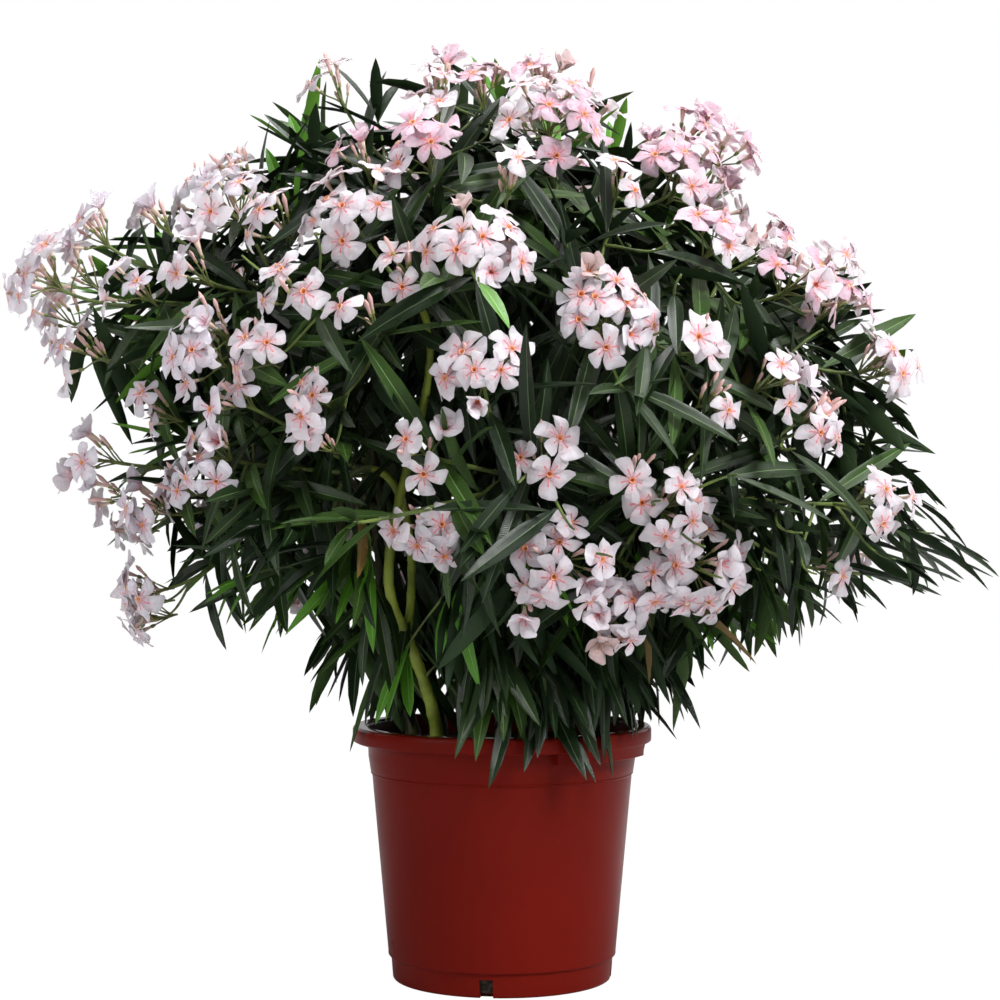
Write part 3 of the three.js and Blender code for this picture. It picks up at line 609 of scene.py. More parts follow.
def grow_leaves(corners, backs, first_order, key, tones, droop_more):
    """Whorls of three leaves on shoots, backs (m,) mm down from the tips.

    A leaf leaves its shoot at its whorl's lean, in one of three directions 120 degrees apart, each whorl
    turned by 60 more, and is then drawn down by its droop. Leaves that would leave the crown are shortened or
    skipped.
    """
    n, m = len(corners), len(backs)
    t, whole = at_length(corners, np.broadcast_to(backs, (n, m)))
    shoot = np.arange(n)[:, None, None] + key * 1000
    whorl = np.arange(m)[None, :, None]
    place = np.arange(3)[None, None, :]
    roll = [chance(shoot, whorl * 4 + place, channel) for channel in range(8)]
    order = np.clip(np.arange(m) + first_order, 0, len(WHORL_SIZES) - 1)
    size, leans, droops, bends = (values[order][None, :, None]
                                  for values in (WHORL_SIZES, WHORL_LEANS, WHORL_DROOPS, WHORL_BENDS))
    at = along_curves(corners, t)[:, :, None] + np.zeros((1, 1, 3, 1))
    heading = heading_on(corners, t)[:, :, None] + np.zeros((1, 1, 3, 1))
    flat_side = across_of(heading, np.where(np.abs(heading[..., 2:]) > 0.95, np.array([1.0, 0, 0]), UP))
    flat_other = np.cross(heading, flat_side)
    turn = 120 * place + 60 * whorl + VARIED["shoot"] * chance(shoot, 0, 9) + VARIED["turn"] * (roll[0] - 0.5)
    turn = np.radians(turn)[..., None]
    side = flat_side * np.cos(turn) + flat_other * np.sin(turn)
    lean = np.radians(leans + VARIED["lean"] * (roll[1] - 0.5))[..., None]
    hang = LOW_HANG["more"] * np.interp(at[..., 2], (LOW_HANG["full"], LOW_HANG["none"]), (1, 0))
    droop = (droops + droop_more + hang + VARIED["droop"] * (roll[2] - 0.4))[..., None]
    along = unit(heading * np.cos(lean) + side * np.sin(lean) - UP * droop)
    top = across_of(along, heading * 0.6 + UP * 0.55)
    b = Blade(
        root=at.reshape(-1, 3), along=along.reshape(-1, 3), top=top.reshape(-1, 3),
        length=(LEAF["length"] * size * (LEAF["shortest"] + VARIED["length"] * roll[3])).ravel(),
        width=(LEAF["width"] * width_for(size) * (LEAF["narrowest"] + VARIED["width"] * roll[4])).ravel(),
        bend=(bends + VARIED["bend"] * (roll[5] - 0.42)).ravel(),
        fold=(LEAF["fold"] + VARIED["fold"] * roll[6]).ravel(),
        twist=(VARIED["twist"] * (roll[7] - 0.5)).ravel(), wave=(VARIED["wave"] * roll[2]).ravel(),
    )
    grows = np.broadcast_to((backs[None, :, None] < whole[:, None, None] - 10), roll[0].shape).ravel()
    tone = np.broadcast_to(tones[:, :, None], roll[0].shape).ravel()
    return kept_inside(Leaves(b, tone), grows)


def by_side(ways, zone, middle):
    """A value for unit vectors by how far they point sideways: the zone's left, middle, the zone's right."""
    return np.interp(ways[:, 0], zone["sides"], (zone["left"], middle, middle, zone["right"]))


def kept_inside(leaves, grows):
    """The leaves that fit: shortened to end within the crown's reach, clear of the pot's rim and compost."""
    b = leaves.blade
    out = blade_tip(b) - CROWN_CENTRE
    ways = unit(out)
    limit = LEAF_REACH["least"] + LEAF_REACH["more"] * chance(np.arange(len(out)), 3, 12) ** 2
    elevation = np.degrees(np.arcsin(ways[:, 2]))
    hanging = FRINGE["more"] * np.interp(elevation, (FRINGE["full"], FRINGE["start"]), (1, 0))
    hanging = hanging * by_side(ways, FRINGE, 1)
    past = np.linalg.norm(out, axis=1) - reach_along(ways) * limit - hanging
    past = np.maximum(past, out[:, 2] + CROWN_CENTRE[2] - CROWN_TOP)
    outward = np.maximum(np.sum(b.along * ways, axis=1), LEAF_REACH["outward"])
    shorter = np.clip(1 - np.maximum(past, 0) / (b.length * outward), 0.0, 1.0)
    b = b._replace(length=b.length * shorter, width=b.width * width_for(shorter))
    missing = np.interp(elevation, OPEN_SIDE["elevations"], (0, 1, 1, 0)) * by_side(ways, OPEN_SIDE, 0)
    grows = grows & (shorter > LEAF_REACH["shortest"]) & (chance(np.arange(len(out)), 5, 13) > missing)
    for share in (0.5, 0.8, 1.0):
        spot = b.root + (blade_tip(b) - b.root) * share
        ring = np.hypot(spot[:, 0], spot[:, 1])
        over_rim = ring > POT["neck"] - LEAF_CLEARANCE["inside_rim"]
        over_rim = over_rim & (ring < POT["rim"] + LEAF_CLEARANCE["outside_rim"])
        on_rim = over_rim & (spot[:, 2] < POT["height"] + LEAF_CLEARANCE["above_rim"])
        in_compost = (spot[:, 2] < COMPOST_TOP + LEAF_CLEARANCE["above_compost"]) & (ring <= POT["neck"])
        grows = grows & ~on_rim & ~in_compost & (spot[:, 2] > LEAF_CLEARANCE["lowest"])
    return Leaves(Blade(*(part[grows] for part in b)), leaves.tone[grows])


DEEP, MIDDLE, FRESH, YOUNG, DRY = range(5)
TONE_SHARES = dict(deep=0.5, deep_or_middle=0.86, dry=0.012)
BRIGHT_WHORLS = 2  # the first whorls, which may be bright
OLD_WHORLS = 4  # the first of the older whorls


def dealt_tones(n, m, key, bright_share=0.0, bright=YOUNG):
    """A tone for each shoot's whorls: mostly deep, some middle, a few fresh, the first whorls of some bright.

    A very few of the older whorls are dry.
    """
    pick = chance(np.arange(n), key, 21)
    below = [pick < TONE_SHARES[name] for name in ("deep", "deep_or_middle")]
    tone = np.select(below, [DEEP, MIDDLE], FRESH)
    tone = np.tile(tone[:, None], (1, m))
    is_bright = chance(np.arange(n), key, 22) < bright_share
    tone[is_bright, :BRIGHT_WHORLS] = bright
    is_dry = chance(np.arange(n)[:, None], np.arange(m)[None], 23 + key) < TONE_SHARES["dry"]
    tone[is_dry & (np.arange(m) >= OLD_WHORLS)] = DRY
    return tone


# How far down from the tip whorls stand, in mm: below a truss, below a leafy tip, on a shoot, on old wood.
BELOW_TRUSS = 30 + 23.0 * np.arange(7)
BELOW_TIP = np.array([1.0, 8, 22, 40, 62, 88, 116, 144])
ON_SHOOT = np.array([1.0, 8, 24, 46, 72, 100])
ON_WOOD = 14 + 25.0 * np.arange(10)


def all_leaves(stems, boughs, hearts, twigs, flowers, shoots, shoot_flowers, low_shoots):
    """Every leaf of the crown: on flowering twigs, on leafy twigs and shoots, and on the older wood.

    Each row gives the shoots, their whorls' places, the order of the first whorl, the key of their chances,
    the share of shoots with bright first whorls and their tone, and how much more the leaves droop.
    """
    in_flower, single = flowers > 0, shoot_flowers > 0
    rows = (
        (twigs[in_flower], BELOW_TRUSS, 3, 1, 0.5, FRESH, 0.0),
        (twigs[~in_flower], BELOW_TIP, 0, 2, 0.4, YOUNG, 0.0),
        (shoots[single], BELOW_TRUSS[:4], 3, 7, 0.0, YOUNG, 0.0),
        (shoots[~single], ON_SHOOT, 0, 3, 0.25, YOUNG, 0.0),
        (hearts, ON_WOOD[:5], 5, 4, 0.0, YOUNG, 0.3),
        (boughs, ON_WOOD, 6, 5, 0.0, YOUNG, 0.6),
        (stems, ON_WOOD[:5], 7, 6, 0.0, YOUNG, 1.0),
        (stems, ON_WOOD - 8, 6, 9, 0.0, YOUNG, 0.25),
        (low_shoots, ON_SHOOT, 1, 8, 0.0, YOUNG, 0.3),
    )
    parts = []
    for curves, places, first_order, key, bright_share, bright, droop_more in rows:
        tones = dealt_tones(len(curves), len(places), key, bright_share, bright)
        parts.append(grow_leaves(curves, places, first_order, key, tones, droop_more))
    b = Blade(*(np.concatenate([getattr(p.blade, name) for p in parts]) for name in Blade._fields))
    ends = np.concatenate([twigs, shoots])
    leaves = Leaves(b, np.concatenate([p.tone for p in parts]))
    leaves = clear_of_limbs(leaves, [stems[GREEN_STEM], *boughs[list(GREEN_BOUGHS)]])
    return clear_of_trusses(leaves, ends, np.append(flowers, shoot_flowers))


def spots_of(b):
    """Three spots on each leaf, the first spots of all leaves first."""
    return np.concatenate([b.root + (blade_tip(b) - b.root) * share for share in (0.45, 0.72, 1.0)])


def without(leaves, hides):
    """The leaves that have none of their three spots among the hiding ones."""
    keep = ~hides.reshape(3, -1).any(axis=0)
    return Leaves(Blade(*(part[keep] for part in leaves.blade)), leaves.tone[keep])


def before(spots, point, view, radius, behind=0):
    """Whether each spot is near a point's line of sight, before it or no further than this behind it."""
    away = spots - point
    nearer = away @ view
    beside = np.linalg.norm(away - nearer[:, None] * view, axis=1)
    return (nearer > -behind) & (beside < radius)


def clear_of_limbs(leaves, limbs):
    """The leaves that do not hide these limbs from the eye, so that the bright ones show."""
    spots = spots_of(leaves.blade)
    hides = np.zeros(len(spots), dtype=bool)
    shares = np.tile(np.linspace(0.1, 0.75, 26), (len(limbs), 1))
    for sample in along_curves(np.array(limbs), shares).reshape(-1, 3):
        hides |= before(spots, sample, unit(EYE_POINT - sample), GREEN_CLEARANCE)
    return without(leaves, hides)


def clear_of_trusses(leaves, twigs, flowers):
    """The leaves that hide no truss, seen from outside along its own way out or, in front, from the eye."""
    spots = spots_of(leaves.blade)
    hides = np.zeros(len(spots), dtype=bool)
    for twig, number in zip(twigs[flowers > 0], flowers[flowers > 0]):
        heart = twig[3] + unit(twig[3] - twig[2]) * TRUSS_CLEARANCE["heart"]
        radius = TRUSS_CLEARANCE["least"] + TRUSS_CLEARANCE["each"] * number
        hides |= before(spots, heart, unit(heart - CROWN_CENTRE), radius, TRUSS_CLEARANCE["behind"])
        if heart[1] < 0:
            hides |= before(spots, heart, unit(EYE_POINT - heart), radius, TRUSS_CLEARANCE["behind"])
    return without(leaves, hides)


# ---- blossom ----

PETAL_OUTLINE = Outline(
    shares=np.array([0.08, 0.25, 0.45, 0.66, 0.86, 0.97]),
    widths=np.array([0.34, 0.58, 0.84, 0.98, 1.0, 0.74]),
    shifts=np.array([0.0, 0.0, 0.02, 0.06, 0.12, 0.16]),
    across=np.array([1.0, 0.13, -0.13, -1.0, 0.0]),
    lifts=np.array([-0.1, 0.04, 0.04, -0.1, 0.0]),
    thickness=np.array([0.0, 0.0, 0.0, 0.0, 0.3]),
    zones=np.array([[2, 2, 2, 2, 2], [1, 2, 1, 1, 1], [3, 2, 3, 3, 3], [0, 3, 3, 0, 0], [0, 0, 0, 0, 0],
                    [0, 0, 0, 0, 0], [0, 0, 0, 0, 0]]),
)
# A flower in mm, how many are spent, half open or of another tint than their truss, and how wide they open.
FLOWER = dict(petal=20.5, petal_width=19, throat=3.0, depth=19, smallest=0.83, spent_smallest=0.7, larger=0.2,
              spent_share=0.02, half_open_share=0.12, strayed_share=0.22,
              half_open=-0.55, open=0.3, wider=0.5)
# A truss: the cap over which its flowers spread, in degrees; its stalks, from a stretch of the twig, in mm;
# its buds, the share of the cap that they take, and their length. What each flower adds is named each.
TRUSS = dict(cap=34, cap_each=4.2, tilt_varied=0.25, turn_varied=24, stretch=4, stretch_more=20, stalk=13,
             stalk_each=1.7, stalk_more=9, buds=3, buds_more=5, bud_cap=0.5, bud=11, bud_more=15)
BLUSH, PALE, SHADE_COOL, SPENT = range(4)
# Trusses are rosy above a height and right of a place, high up and on the right. Left of a place their tint
# is painted shade: the cool lavender cast that the left flank's flowers show in shade.
ROSY = ((780, -140), (640, 150))
SHADE_COOL_LEFT_OF = -230

Flowers = namedtuple("Flowers", "root axis size tint open")


def tint_at(place):
    """The tint of a truss that stands at a place, with the left flank's shade painted in as a cool lavender.
    """
    if any(place[2] > height and place[0] > across for height, across in ROSY):
        return BLUSH
    return SHADE_COOL if place[0] < SHADE_COOL_LEFT_OF else PALE


def truss_parts(twigs, flowers):
    """Each truss's stalks, open flowers and buds.

    The flowers stand round the twig's heading on a spiral, evenly over a cap that widens with their number;
    the buds stand closer to the heading. Each is on its own stalk from the last stretch of the twig.
    """
    stalks, blooms, buds = [], [], []
    for index in np.flatnonzero(flowers > 0):
        twig, number = twigs[index], int(flowers[index])
        place, heading = twig[3], unit(twig[3] - twig[2])
        outward = unit(place - CROWN_CENTRE)
        side = across_of(heading, UP if abs(heading[2]) < 0.9 else np.array([1.0, 0, 0]))
        other = np.cross(heading, side)
        usual = tint_at(place)
        cap = math.cos(math.radians(TRUSS["cap"] + TRUSS["cap_each"] * number))
        bud_count = TRUSS["buds"] + int(TRUSS["buds_more"] * chance(index, 1, 31))
        for k in range(number + bud_count):
            roll = [float(chance(index, k, channel)) for channel in range(32, 40)]
            is_bud = k >= number
            share = (k - number + 0.7) / bud_count * TRUSS["bud_cap"] if is_bud else (k + 0.5) / number
            tilt = math.acos(1 - share * (1 - cap)) + TRUSS["tilt_varied"] * (roll[0] - 0.5)
            turn = k * GOLDEN + 360 * float(chance(index, 2, 31)) + TRUSS["turn_varied"] * (roll[1] - 0.5)
            turn = math.radians(turn)
            spread = side * math.cos(turn) + other * math.sin(turn)
            way = unit(heading * math.cos(tilt) + spread * math.sin(tilt))
            start = place - heading * (TRUSS["stretch"] + TRUSS["stretch_more"] * roll[2])
            reach = TRUSS["stalk"] + TRUSS["stalk_each"] * number + TRUSS["stalk_more"] * roll[3]
            if is_bud:
                reach = reach * (0.5 + 0.6 * roll[4])
                way = unit(way + UP * 0.35)
            end = start + way * reach
            stalks.append(np.array([start, start + heading * reach * 0.35, end - way * reach * 0.3, end]))
            tint = PALE if roll[7] < FLOWER["strayed_share"] else usual
            if is_bud:
                buds.append((end, unit(way + UP * 0.15), TRUSS["bud"] + TRUSS["bud_more"] * roll[5], tint))
                continue
            axis = unit(way * 0.9 + outward * 0.35 + UP * (0.12 * roll[6]))
            spent = roll[6] < FLOWER["spent_share"]
            half_open = spent or roll[4] < FLOWER["half_open_share"]
            opening = FLOWER["half_open"] if half_open else FLOWER["open"] + FLOWER["wider"] * roll[7]
            size = FLOWER["spent_smallest" if spent else "smallest"] + FLOWER["larger"] * roll[5]
            blooms.append((end, axis, size, SPENT if spent else tint, opening))
    flowers_grown = Flowers(*(np.array(column) for column in zip(*blooms)))
    return np.array(stalks), flowers_grown, [np.array(column) for column in zip(*buds)]


# A petal: its root's share of the throat's width and how far that is sunk; how it rises, half open or wide,
# and leans about its own length; and how much each petal varies, from a least value or about a middle.
PETAL = dict(root=0.6, sunk=1.4, rise=0.42, rise_by_opening=0.9, rise_varied=0.5, lean=0.22, turn_varied=0.22,
             size=0.84, size_more=0.28, width=0.7, width_more=0.45, bend=0.55, bend_varied=0.9, fold=0.1,
             fold_varied=0.35, twist=0.3, twist_varied=0.9, wave=0.06, wave_more=0.24)


def petals_of(f):
    """Five petals round each flower's throat, 72 degrees apart, leaning back from the axis by its opening."""
    p = PETAL
    reference = np.where(np.abs(f.axis[:, 2:]) > 0.9, np.array([[1.0, 0, 0]]), UP[None])
    side = across_of(f.axis, reference)
    other = np.cross(f.axis, side)
    index = np.arange(len(f.size))[:, None]
    petal = np.arange(5)[None]
    roll = [chance(index, petal, channel) for channel in range(41, 47)]
    turn = np.radians(72 * petal + 360 * chance(index, 0, 47)) + p["turn_varied"] * (roll[0] - 0.5)
    turn = turn[..., None]
    out = side[:, None] * np.cos(turn) + other[:, None] * np.sin(turn)
    around = np.cross(f.axis[:, None], out)
    wider = f.open[:, None] - FLOWER["open"]
    rise = (p["rise"] - p["rise_by_opening"] * wider + p["rise_varied"] * (roll[1] - 0.5))[..., None]
    axis = f.axis[:, None] + 0 * out
    along = unit(out * np.cos(rise) + axis * np.sin(rise))
    top = across_of(along, axis * np.cos(rise) - out * np.sin(rise) + around * p["lean"])
    centre = f.root + f.axis * (FLOWER["depth"] * f.size)[:, None]
    root = centre[:, None] + out * (FLOWER["throat"] * f.size)[:, None, None] * p["root"] - axis * p["sunk"]
    size = f.size[:, None] * (p["size"] + p["size_more"] * roll[2])
    width = FLOWER["petal_width"] * size * (p["width"] + p["width_more"] * roll[3])
    return Blade(
        root=root.reshape(-1, 3), along=along.reshape(-1, 3), top=top.reshape(-1, 3),
        length=(FLOWER["petal"] * size).ravel(), width=width.ravel(),
        bend=(p["bend"] + p["bend_varied"] * (roll[4] - 0.4)).ravel(),
        fold=(p["fold"] + p["fold_varied"] * (roll[5] - 0.5)).ravel(),
        twist=(p["twist"] + p["twist_varied"] * (roll[0] - 0.5)).ravel(),
        wave=(p["wave"] + p["wave_more"] * roll[1]).ravel(),
    )


# ---- meshes ----


def add_piece(name, shape, finishes, replaced=(), sharp=None):
    """A shape in millimetres as a smooth mesh in metres that rides with the plant, a finish for each zone."""
    mesh = bpy.data.meshes.new(name)
    mesh.from_pydata((shape.points * MM).tolist(), [], shape.quads.tolist() + shape.triangles.tolist())
    for finish in finishes:
        mesh.materials.append(finish)
    zones = np.concatenate([shape.quad_zones, shape.triangle_zones]).astype(np.int32)
    mesh.polygons.foreach_set("material_index", zones)
    mesh.shade_smooth()
    if sharp is not None:
        mesh.set_sharp_from_angle(angle=math.radians(sharp))
    corner_points = np.empty(len(mesh.loops), dtype=np.int32)
    mesh.loops.foreach_get("vertex_index", corner_points)
    chart = mesh.uv_layers.new(name="along_and_across")
    chart.data.foreach_set("uv", shape.chart[corner_points].astype(np.float32).ravel())
    mesh.update()
    piece = bpy.data.objects.new(name, mesh)
    bpy.context.scene.collection.objects.link(piece)
    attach(piece, "root")
    if replaced:
        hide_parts(*replaced)
    return piece


# ---- finishes ----


def node_group(name, inputs, outputs):
    """An empty shader node group with named number inputs and outputs, and its two end nodes."""
    group = bpy.data.node_groups.new(name, "ShaderNodeTree")
    for label, default in inputs:
        socket = group.interface.new_socket(label, in_out="INPUT", socket_type="NodeSocketFloat")
        socket.default_value = default
    for label in outputs:
        group.interface.new_socket(label, in_out="OUTPUT", socket_type="NodeSocketFloat")
    return group, group.nodes.new("NodeGroupInput"), group.nodes.new("NodeGroupOutput")


def make_grain_group():
    """Grain: noise on the piece's own coordinates, as a height and as a value between two ends."""
    inputs = (("Scale", 50.0), ("Low", 0.3), ("High", 0.5))
    group, given, result = node_group("grain", inputs, ("Value", "Height"))
    nodes, link = group.nodes, group.links.new
    place = nodes.new("ShaderNodeTexCoord")
    noise = nodes.new("ShaderNodeTexNoise")
    spread = nodes.new("ShaderNodeMapRange")
    noise.inputs["Detail"].default_value = 4.0
    spread.inputs["From Min"].default_value = 0.3
    spread.inputs["From Max"].default_value = 0.7
    link(place.outputs["Object"], noise.inputs["Vector"])
    link(given.outputs["Scale"], noise.inputs["Scale"])
    link(noise.outputs["Fac"], spread.inputs["Value"])
    link(given.outputs["Low"], spread.inputs["To Min"])
    link(given.outputs["High"], spread.inputs["To Max"])
    link(spread.outputs["Result"], result.inputs["Value"])
    link(noise.outputs["Fac"], result.inputs["Height"])
    return group


def make_vein_group():
    """Veins: ridges slanting from a blade's middle to its edge, sin(along * count - from_middle * slant)."""
    group, given, result = node_group("side_veins", (("Count", 200.0), ("Slant", 20.0)), ("Height",))
    nodes, link = group.nodes, group.links.new

    def sum_of(kind, first, second):
        node = nodes.new("ShaderNodeMath")
        node.operation = kind
        for socket, value in zip(node.inputs, (first, second)):
            if isinstance(value, (int, float)):
                socket.default_value = value
            elif value is not None:
                link(value, socket)
        return node.outputs[0]

    chart = nodes.new("ShaderNodeUVMap")
    chart.uv_map = "along_and_across"
    parts = nodes.new("ShaderNodeSeparateXYZ")
    link(chart.outputs["UV"], parts.inputs["Vector"])
    from_middle = sum_of("ABSOLUTE", sum_of("SUBTRACT", parts.outputs["Y"], 0.5), None)
    phase = sum_of("SUBTRACT", sum_of("MULTIPLY", parts.outputs["X"], given.outputs["Count"]),
                   sum_of("MULTIPLY", from_middle, given.outputs["Slant"]))
    link(sum_of("SINE", phase, None), result.inputs["Height"])
    return group


GRAIN = make_grain_group()
VEINS = make_vein_group()


def placed_group(material, group, **values):
    """A node group placed in a material with its own values."""
    node = material.node_tree.nodes.new("ShaderNodeGroup")
    node.node_tree = group
    for label, value in values.items():
        node.inputs[label].default_value = value
    return node


def new_finish(name, colour, scale, low, high, relief, **plain):
    """A finish with a plain colour, a roughness that wanders between low and high, and a fine relief in mm.

    Gives the material, its shader and the bump that holds the relief.
    """
    material = bpy.data.materials.new(name)
    material.use_nodes = True
    shader = material.node_tree.nodes["Principled BSDF"]
    shader.inputs["Base Color"].default_value = (*colour, 1.0)
    for label, value in plain.items():
        shader.inputs[label.replace("_", " ")].default_value = value
    grain = placed_group(material, GRAIN, Scale=scale, Low=low, High=high)
    bump = material.node_tree.nodes.new("ShaderNodeBump")
    bump.inputs["Strength"].default_value = 1.0
    bump.inputs["Distance"].default_value = relief * MM
    link = material.node_tree.links.new
    link(grain.outputs["Value"], shader.inputs["Roughness"])
    link(grain.outputs["Height"], bump.inputs["Height"])
    link(bump.outputs["Normal"], shader.inputs["Normal"])
    return material, shader, bump


def small_finish(name, colour, low, high):
    """A finish for small smooth parts: a plain colour, nearly without relief."""
    material, _, _ = new_finish(name, colour, 200, low, high, 0.1)
    return material


def blade_finish(name, colour, veins, relief, low, high, **plain):
    """A leaf's or petal's finish: plain colour, satin, ribbed by its side veins."""
    material, _, bump = new_finish(name, colour, 160, low, high, relief, **plain)
    ribs = placed_group(material, VEINS, Count=veins, Slant=24.0)
    material.node_tree.links.new(ribs.outputs["Height"], bump.inputs["Height"])
    return material


def mottle(material, shader, scale, stops):
    """Colours the finish by noise through colour stops, (place, colour) each."""
    nodes, link = material.node_tree.nodes, material.node_tree.links.new
    grain = placed_group(material, GRAIN, Scale=scale, Low=0.0, High=1.0)
    ramp = nodes.new("ShaderNodeValToRGB")
    points = ramp.color_ramp.elements
    while len(points) < len(stops):
        points.new(0.5)
    for point, (place, colour) in zip(points, stops):
        point.position = place
        point.color = (*colour, 1.0)
    link(grain.outputs["Value"], ramp.inputs["Fac"])
    link(ramp.outputs["Color"], shader.inputs["Base Color"])


def bark_finish(name, dark, light, scale):
    """Young bark: two tones mixed in patches, with fine pores in relief."""
    material, shader, _ = new_finish(name, light, 260, 0.42, 0.72, 0.5)
    mottle(material, shader, scale, ((0.15, dark), (0.8, light)))
    return material


def pot_finish(name, low, high, gloss):
    """Moulded plastic: a deep brick red, a little patchy, satin, with the faint orange-peel of the mould."""
    material, shader, _ = new_finish(name, (0.13, 0.006, 0.003), 9, low, high, 0.05, Specular_IOR_Level=gloss)
    mottle(material, shader, 5, ((0.0, (0.11, 0.005, 0.0025)), (1.0, (0.145, 0.007, 0.0035))))
    return material


def compost_finish():
    """Moist compost: near-black crumbs with brown ones among them."""
    material, shader, _ = new_finish("compost", (0.02, 0.013, 0.008), 340, 0.75, 1.0, 2.5)
    crumbs = ((0.2, (0.008, 0.005, 0.0035)), (0.62, (0.026, 0.017, 0.01)), (0.95, (0.09, 0.06, 0.035)))
    mottle(material, shader, 210, crumbs)
    return material


# ---- the pot ----


def arc(centre_r, centre_z, radius, start, end, points):
    """Points of a round corner in the profile, from one angle to another in degrees."""
    turn = np.radians(np.linspace(start, end, points))
    return list(zip(centre_r + radius * np.cos(turn), centre_z + radius * np.sin(turn)))


def pot_profile(drop):
    """The pot's skin as points (radius, height): under its floor, out, up, over the rim and down the inside.

    drop is how far the rim's underside is lowered in each column, and is nought away from the grips. The bare
    numbers are the radii of the fillets and the drafts and steps of the bands, in mm.
    """
    p = POT
    top, under = p["height"], p["height"] - p["rim_depth"]
    lower, upper = p["foot_height"] + 5, p["shoulder_height"] - 1.5
    neck_foot, neck_top = p["shoulder_height"] + 2.5, under - GRIP["drop"] - 4
    inside, inside_foot = p["neck"] - p["wall"], p["foot"] - p["wall"]
    points = [(30, 0.0), (p["foot"] - 9, 0.0)]
    points += arc(p["foot"] - 3, 3, 3, -90, 0, 5)
    points += [(p["foot"] + 0.7, 12), (p["foot_top"], p["foot_height"] - 0.6)]
    points += [(p["foot_top"] + 0.5, p["foot_height"])]
    points += arc(p["step"] - 1.2, p["foot_height"] + 2.2, 1.2, -60, 0, 3)
    points += [(p["step"] + 0.01, p["foot_height"] + 4.5)]
    for share in np.linspace(0.02, 1, 14):
        points.append((between(p["step"], p["shoulder"] - 1.4, share), between(lower, upper, share)))
    points += arc(p["shoulder"] - 1.0, p["shoulder_height"] + 0.2, 1.0, -55, 60, 4)
    for share in np.linspace(0, 1, 4):
        points.append((p["shoulder"] + 0.2 + 2.2 * share, between(neck_foot, neck_top, share)))
    points += [
        (p["neck"] - 0.3, under - 2.2 - drop), (p["neck"] + 0.5, under - 0.9 - drop),
        (p["rim"] - 5, under - 0.4 - drop), (p["rim"] - 2.9, under - 0.2 - drop),
        (p["rim"] - 2.2, under + 0.2 - drop), (p["rim"] - 2.0, under + 0.5 - drop * 0.55),
    ]
    points += arc(p["rim"] - 1.2, under + 2.0, 1.2, -70, 0, 4) + [(p["rim"], top - 7)]
    points += arc(p["rim"] - 4, top - 4, 4, 12, 90, 6) + [(p["rim"] - 8, top)]
    points += arc(p["neck"] + 2, top - 3, 3, 90, 180, 5)
    for share in np.linspace(0, 1, 12)[1:]:
        points.append((between(inside, inside_foot, share), between(top - 6, p["floor"] + 3, share)))
    return points + [(inside_foot - 3, p["floor"]), (30, p["floor"])]


def make_pot():
    """The pot as one turned skin with its grips, the rim's uppermost faces glossy, and its drains cut."""
    columns = np.arange(0, 360, 1.5)
    half_span = GRIP["span"] / 2
    for bearing in GRIP["bearings"]:
        for edge in (bearing - half_span, bearing + half_span):
            columns = np.append(columns, [edge - GRIP["edge"], edge + GRIP["edge"]])
    columns = np.unique(np.round(columns % 360, 3))
    gripped = np.zeros(len(columns))
    for bearing in GRIP["bearings"]:
        off = np.abs((columns - bearing + 180) % 360 - 180)
        gripped = np.maximum(gripped, (off < half_span).astype(float))
    drop = GRIP["drop"] * gripped
    radii, heights = (np.array([value + 0 * drop for value in values]) for values in zip(*pot_profile(drop)))
    rings = direction(columns)[None] * radii[..., None] + UP * heights[..., None]
    shape = spindles(np.zeros((1, 3)), rings[None], np.array([[0, 0, POT["floor"]]], dtype=float))
    finishes = [pot_finish("pot_plastic", 0.26, 0.38, 0.05), pot_finish("pot_lip", 0.1, 0.24, 0.7)]
    pot = add_piece("pot_shell", shape, finishes, ("pot",))
    faces = pot.data.polygons
    middles = np.empty(len(faces) * 3)
    faces.foreach_get("center", middles)
    is_lip = middles[2::3] > (POT["height"] - LIP_DEPTH) * MM
    faces.foreach_set("material_index", is_lip.astype(np.int32))
    cut_drains(pot)


def cut_drains(pot):
    """Cuts the drain notches: boxes through the foot of the wall, one at each bearing."""
    bearings = np.array(DRAIN["bearings"], dtype=float)
    out, side = direction(bearings), direction(bearings + 90)
    centre = out * (POT["foot"] - DRAIN["inset"])
    corners = np.array([(a, b, c) for c in (-1, 1) for a in (-1, 1) for b in (-1, 1)], dtype=float)
    corners = corners * (DRAIN["half_depth"], DRAIN["width"] / 2, DRAIN["height"])
    across, along, up = (corners[:, k:k + 1] for k in range(3))
    points = centre[:, None] + out[:, None] * across + side[:, None] * along + UP * up
    faces = np.array([(0, 1, 3, 2), (4, 6, 7, 5), (0, 4, 5, 1), (2, 3, 7, 6), (0, 2, 6, 4), (1, 5, 7, 3)])
    faces = (faces[None] + 8 * np.arange(len(centre))[:, None, None]).reshape(-1, 4)
    mesh = bpy.data.meshes.new("drain_boxes")
    mesh.from_pydata((points.reshape(-1, 3) * MM).tolist(), [], faces.tolist())
    boxes = bpy.data.objects.new("drain_boxes", mesh)
    bpy.context.scene.collection.objects.link(boxes)
    cut = pot.modifiers.new("drains", "BOOLEAN")
    cut.operation = "DIFFERENCE"
    cut.solver = "EXACT"
    cut.object = boxes
    bpy.context.view_layer.update()
    finished = bpy.data.meshes.new_from_object(pot.evaluated_get(bpy.context.evaluated_depsgraph_get()))
    pot.modifiers.remove(cut)
    pot.data = finished
    pot.data.set_sharp_from_angle(angle=math.radians(POT_EDGE))
    bpy.data.objects.remove(boxes)


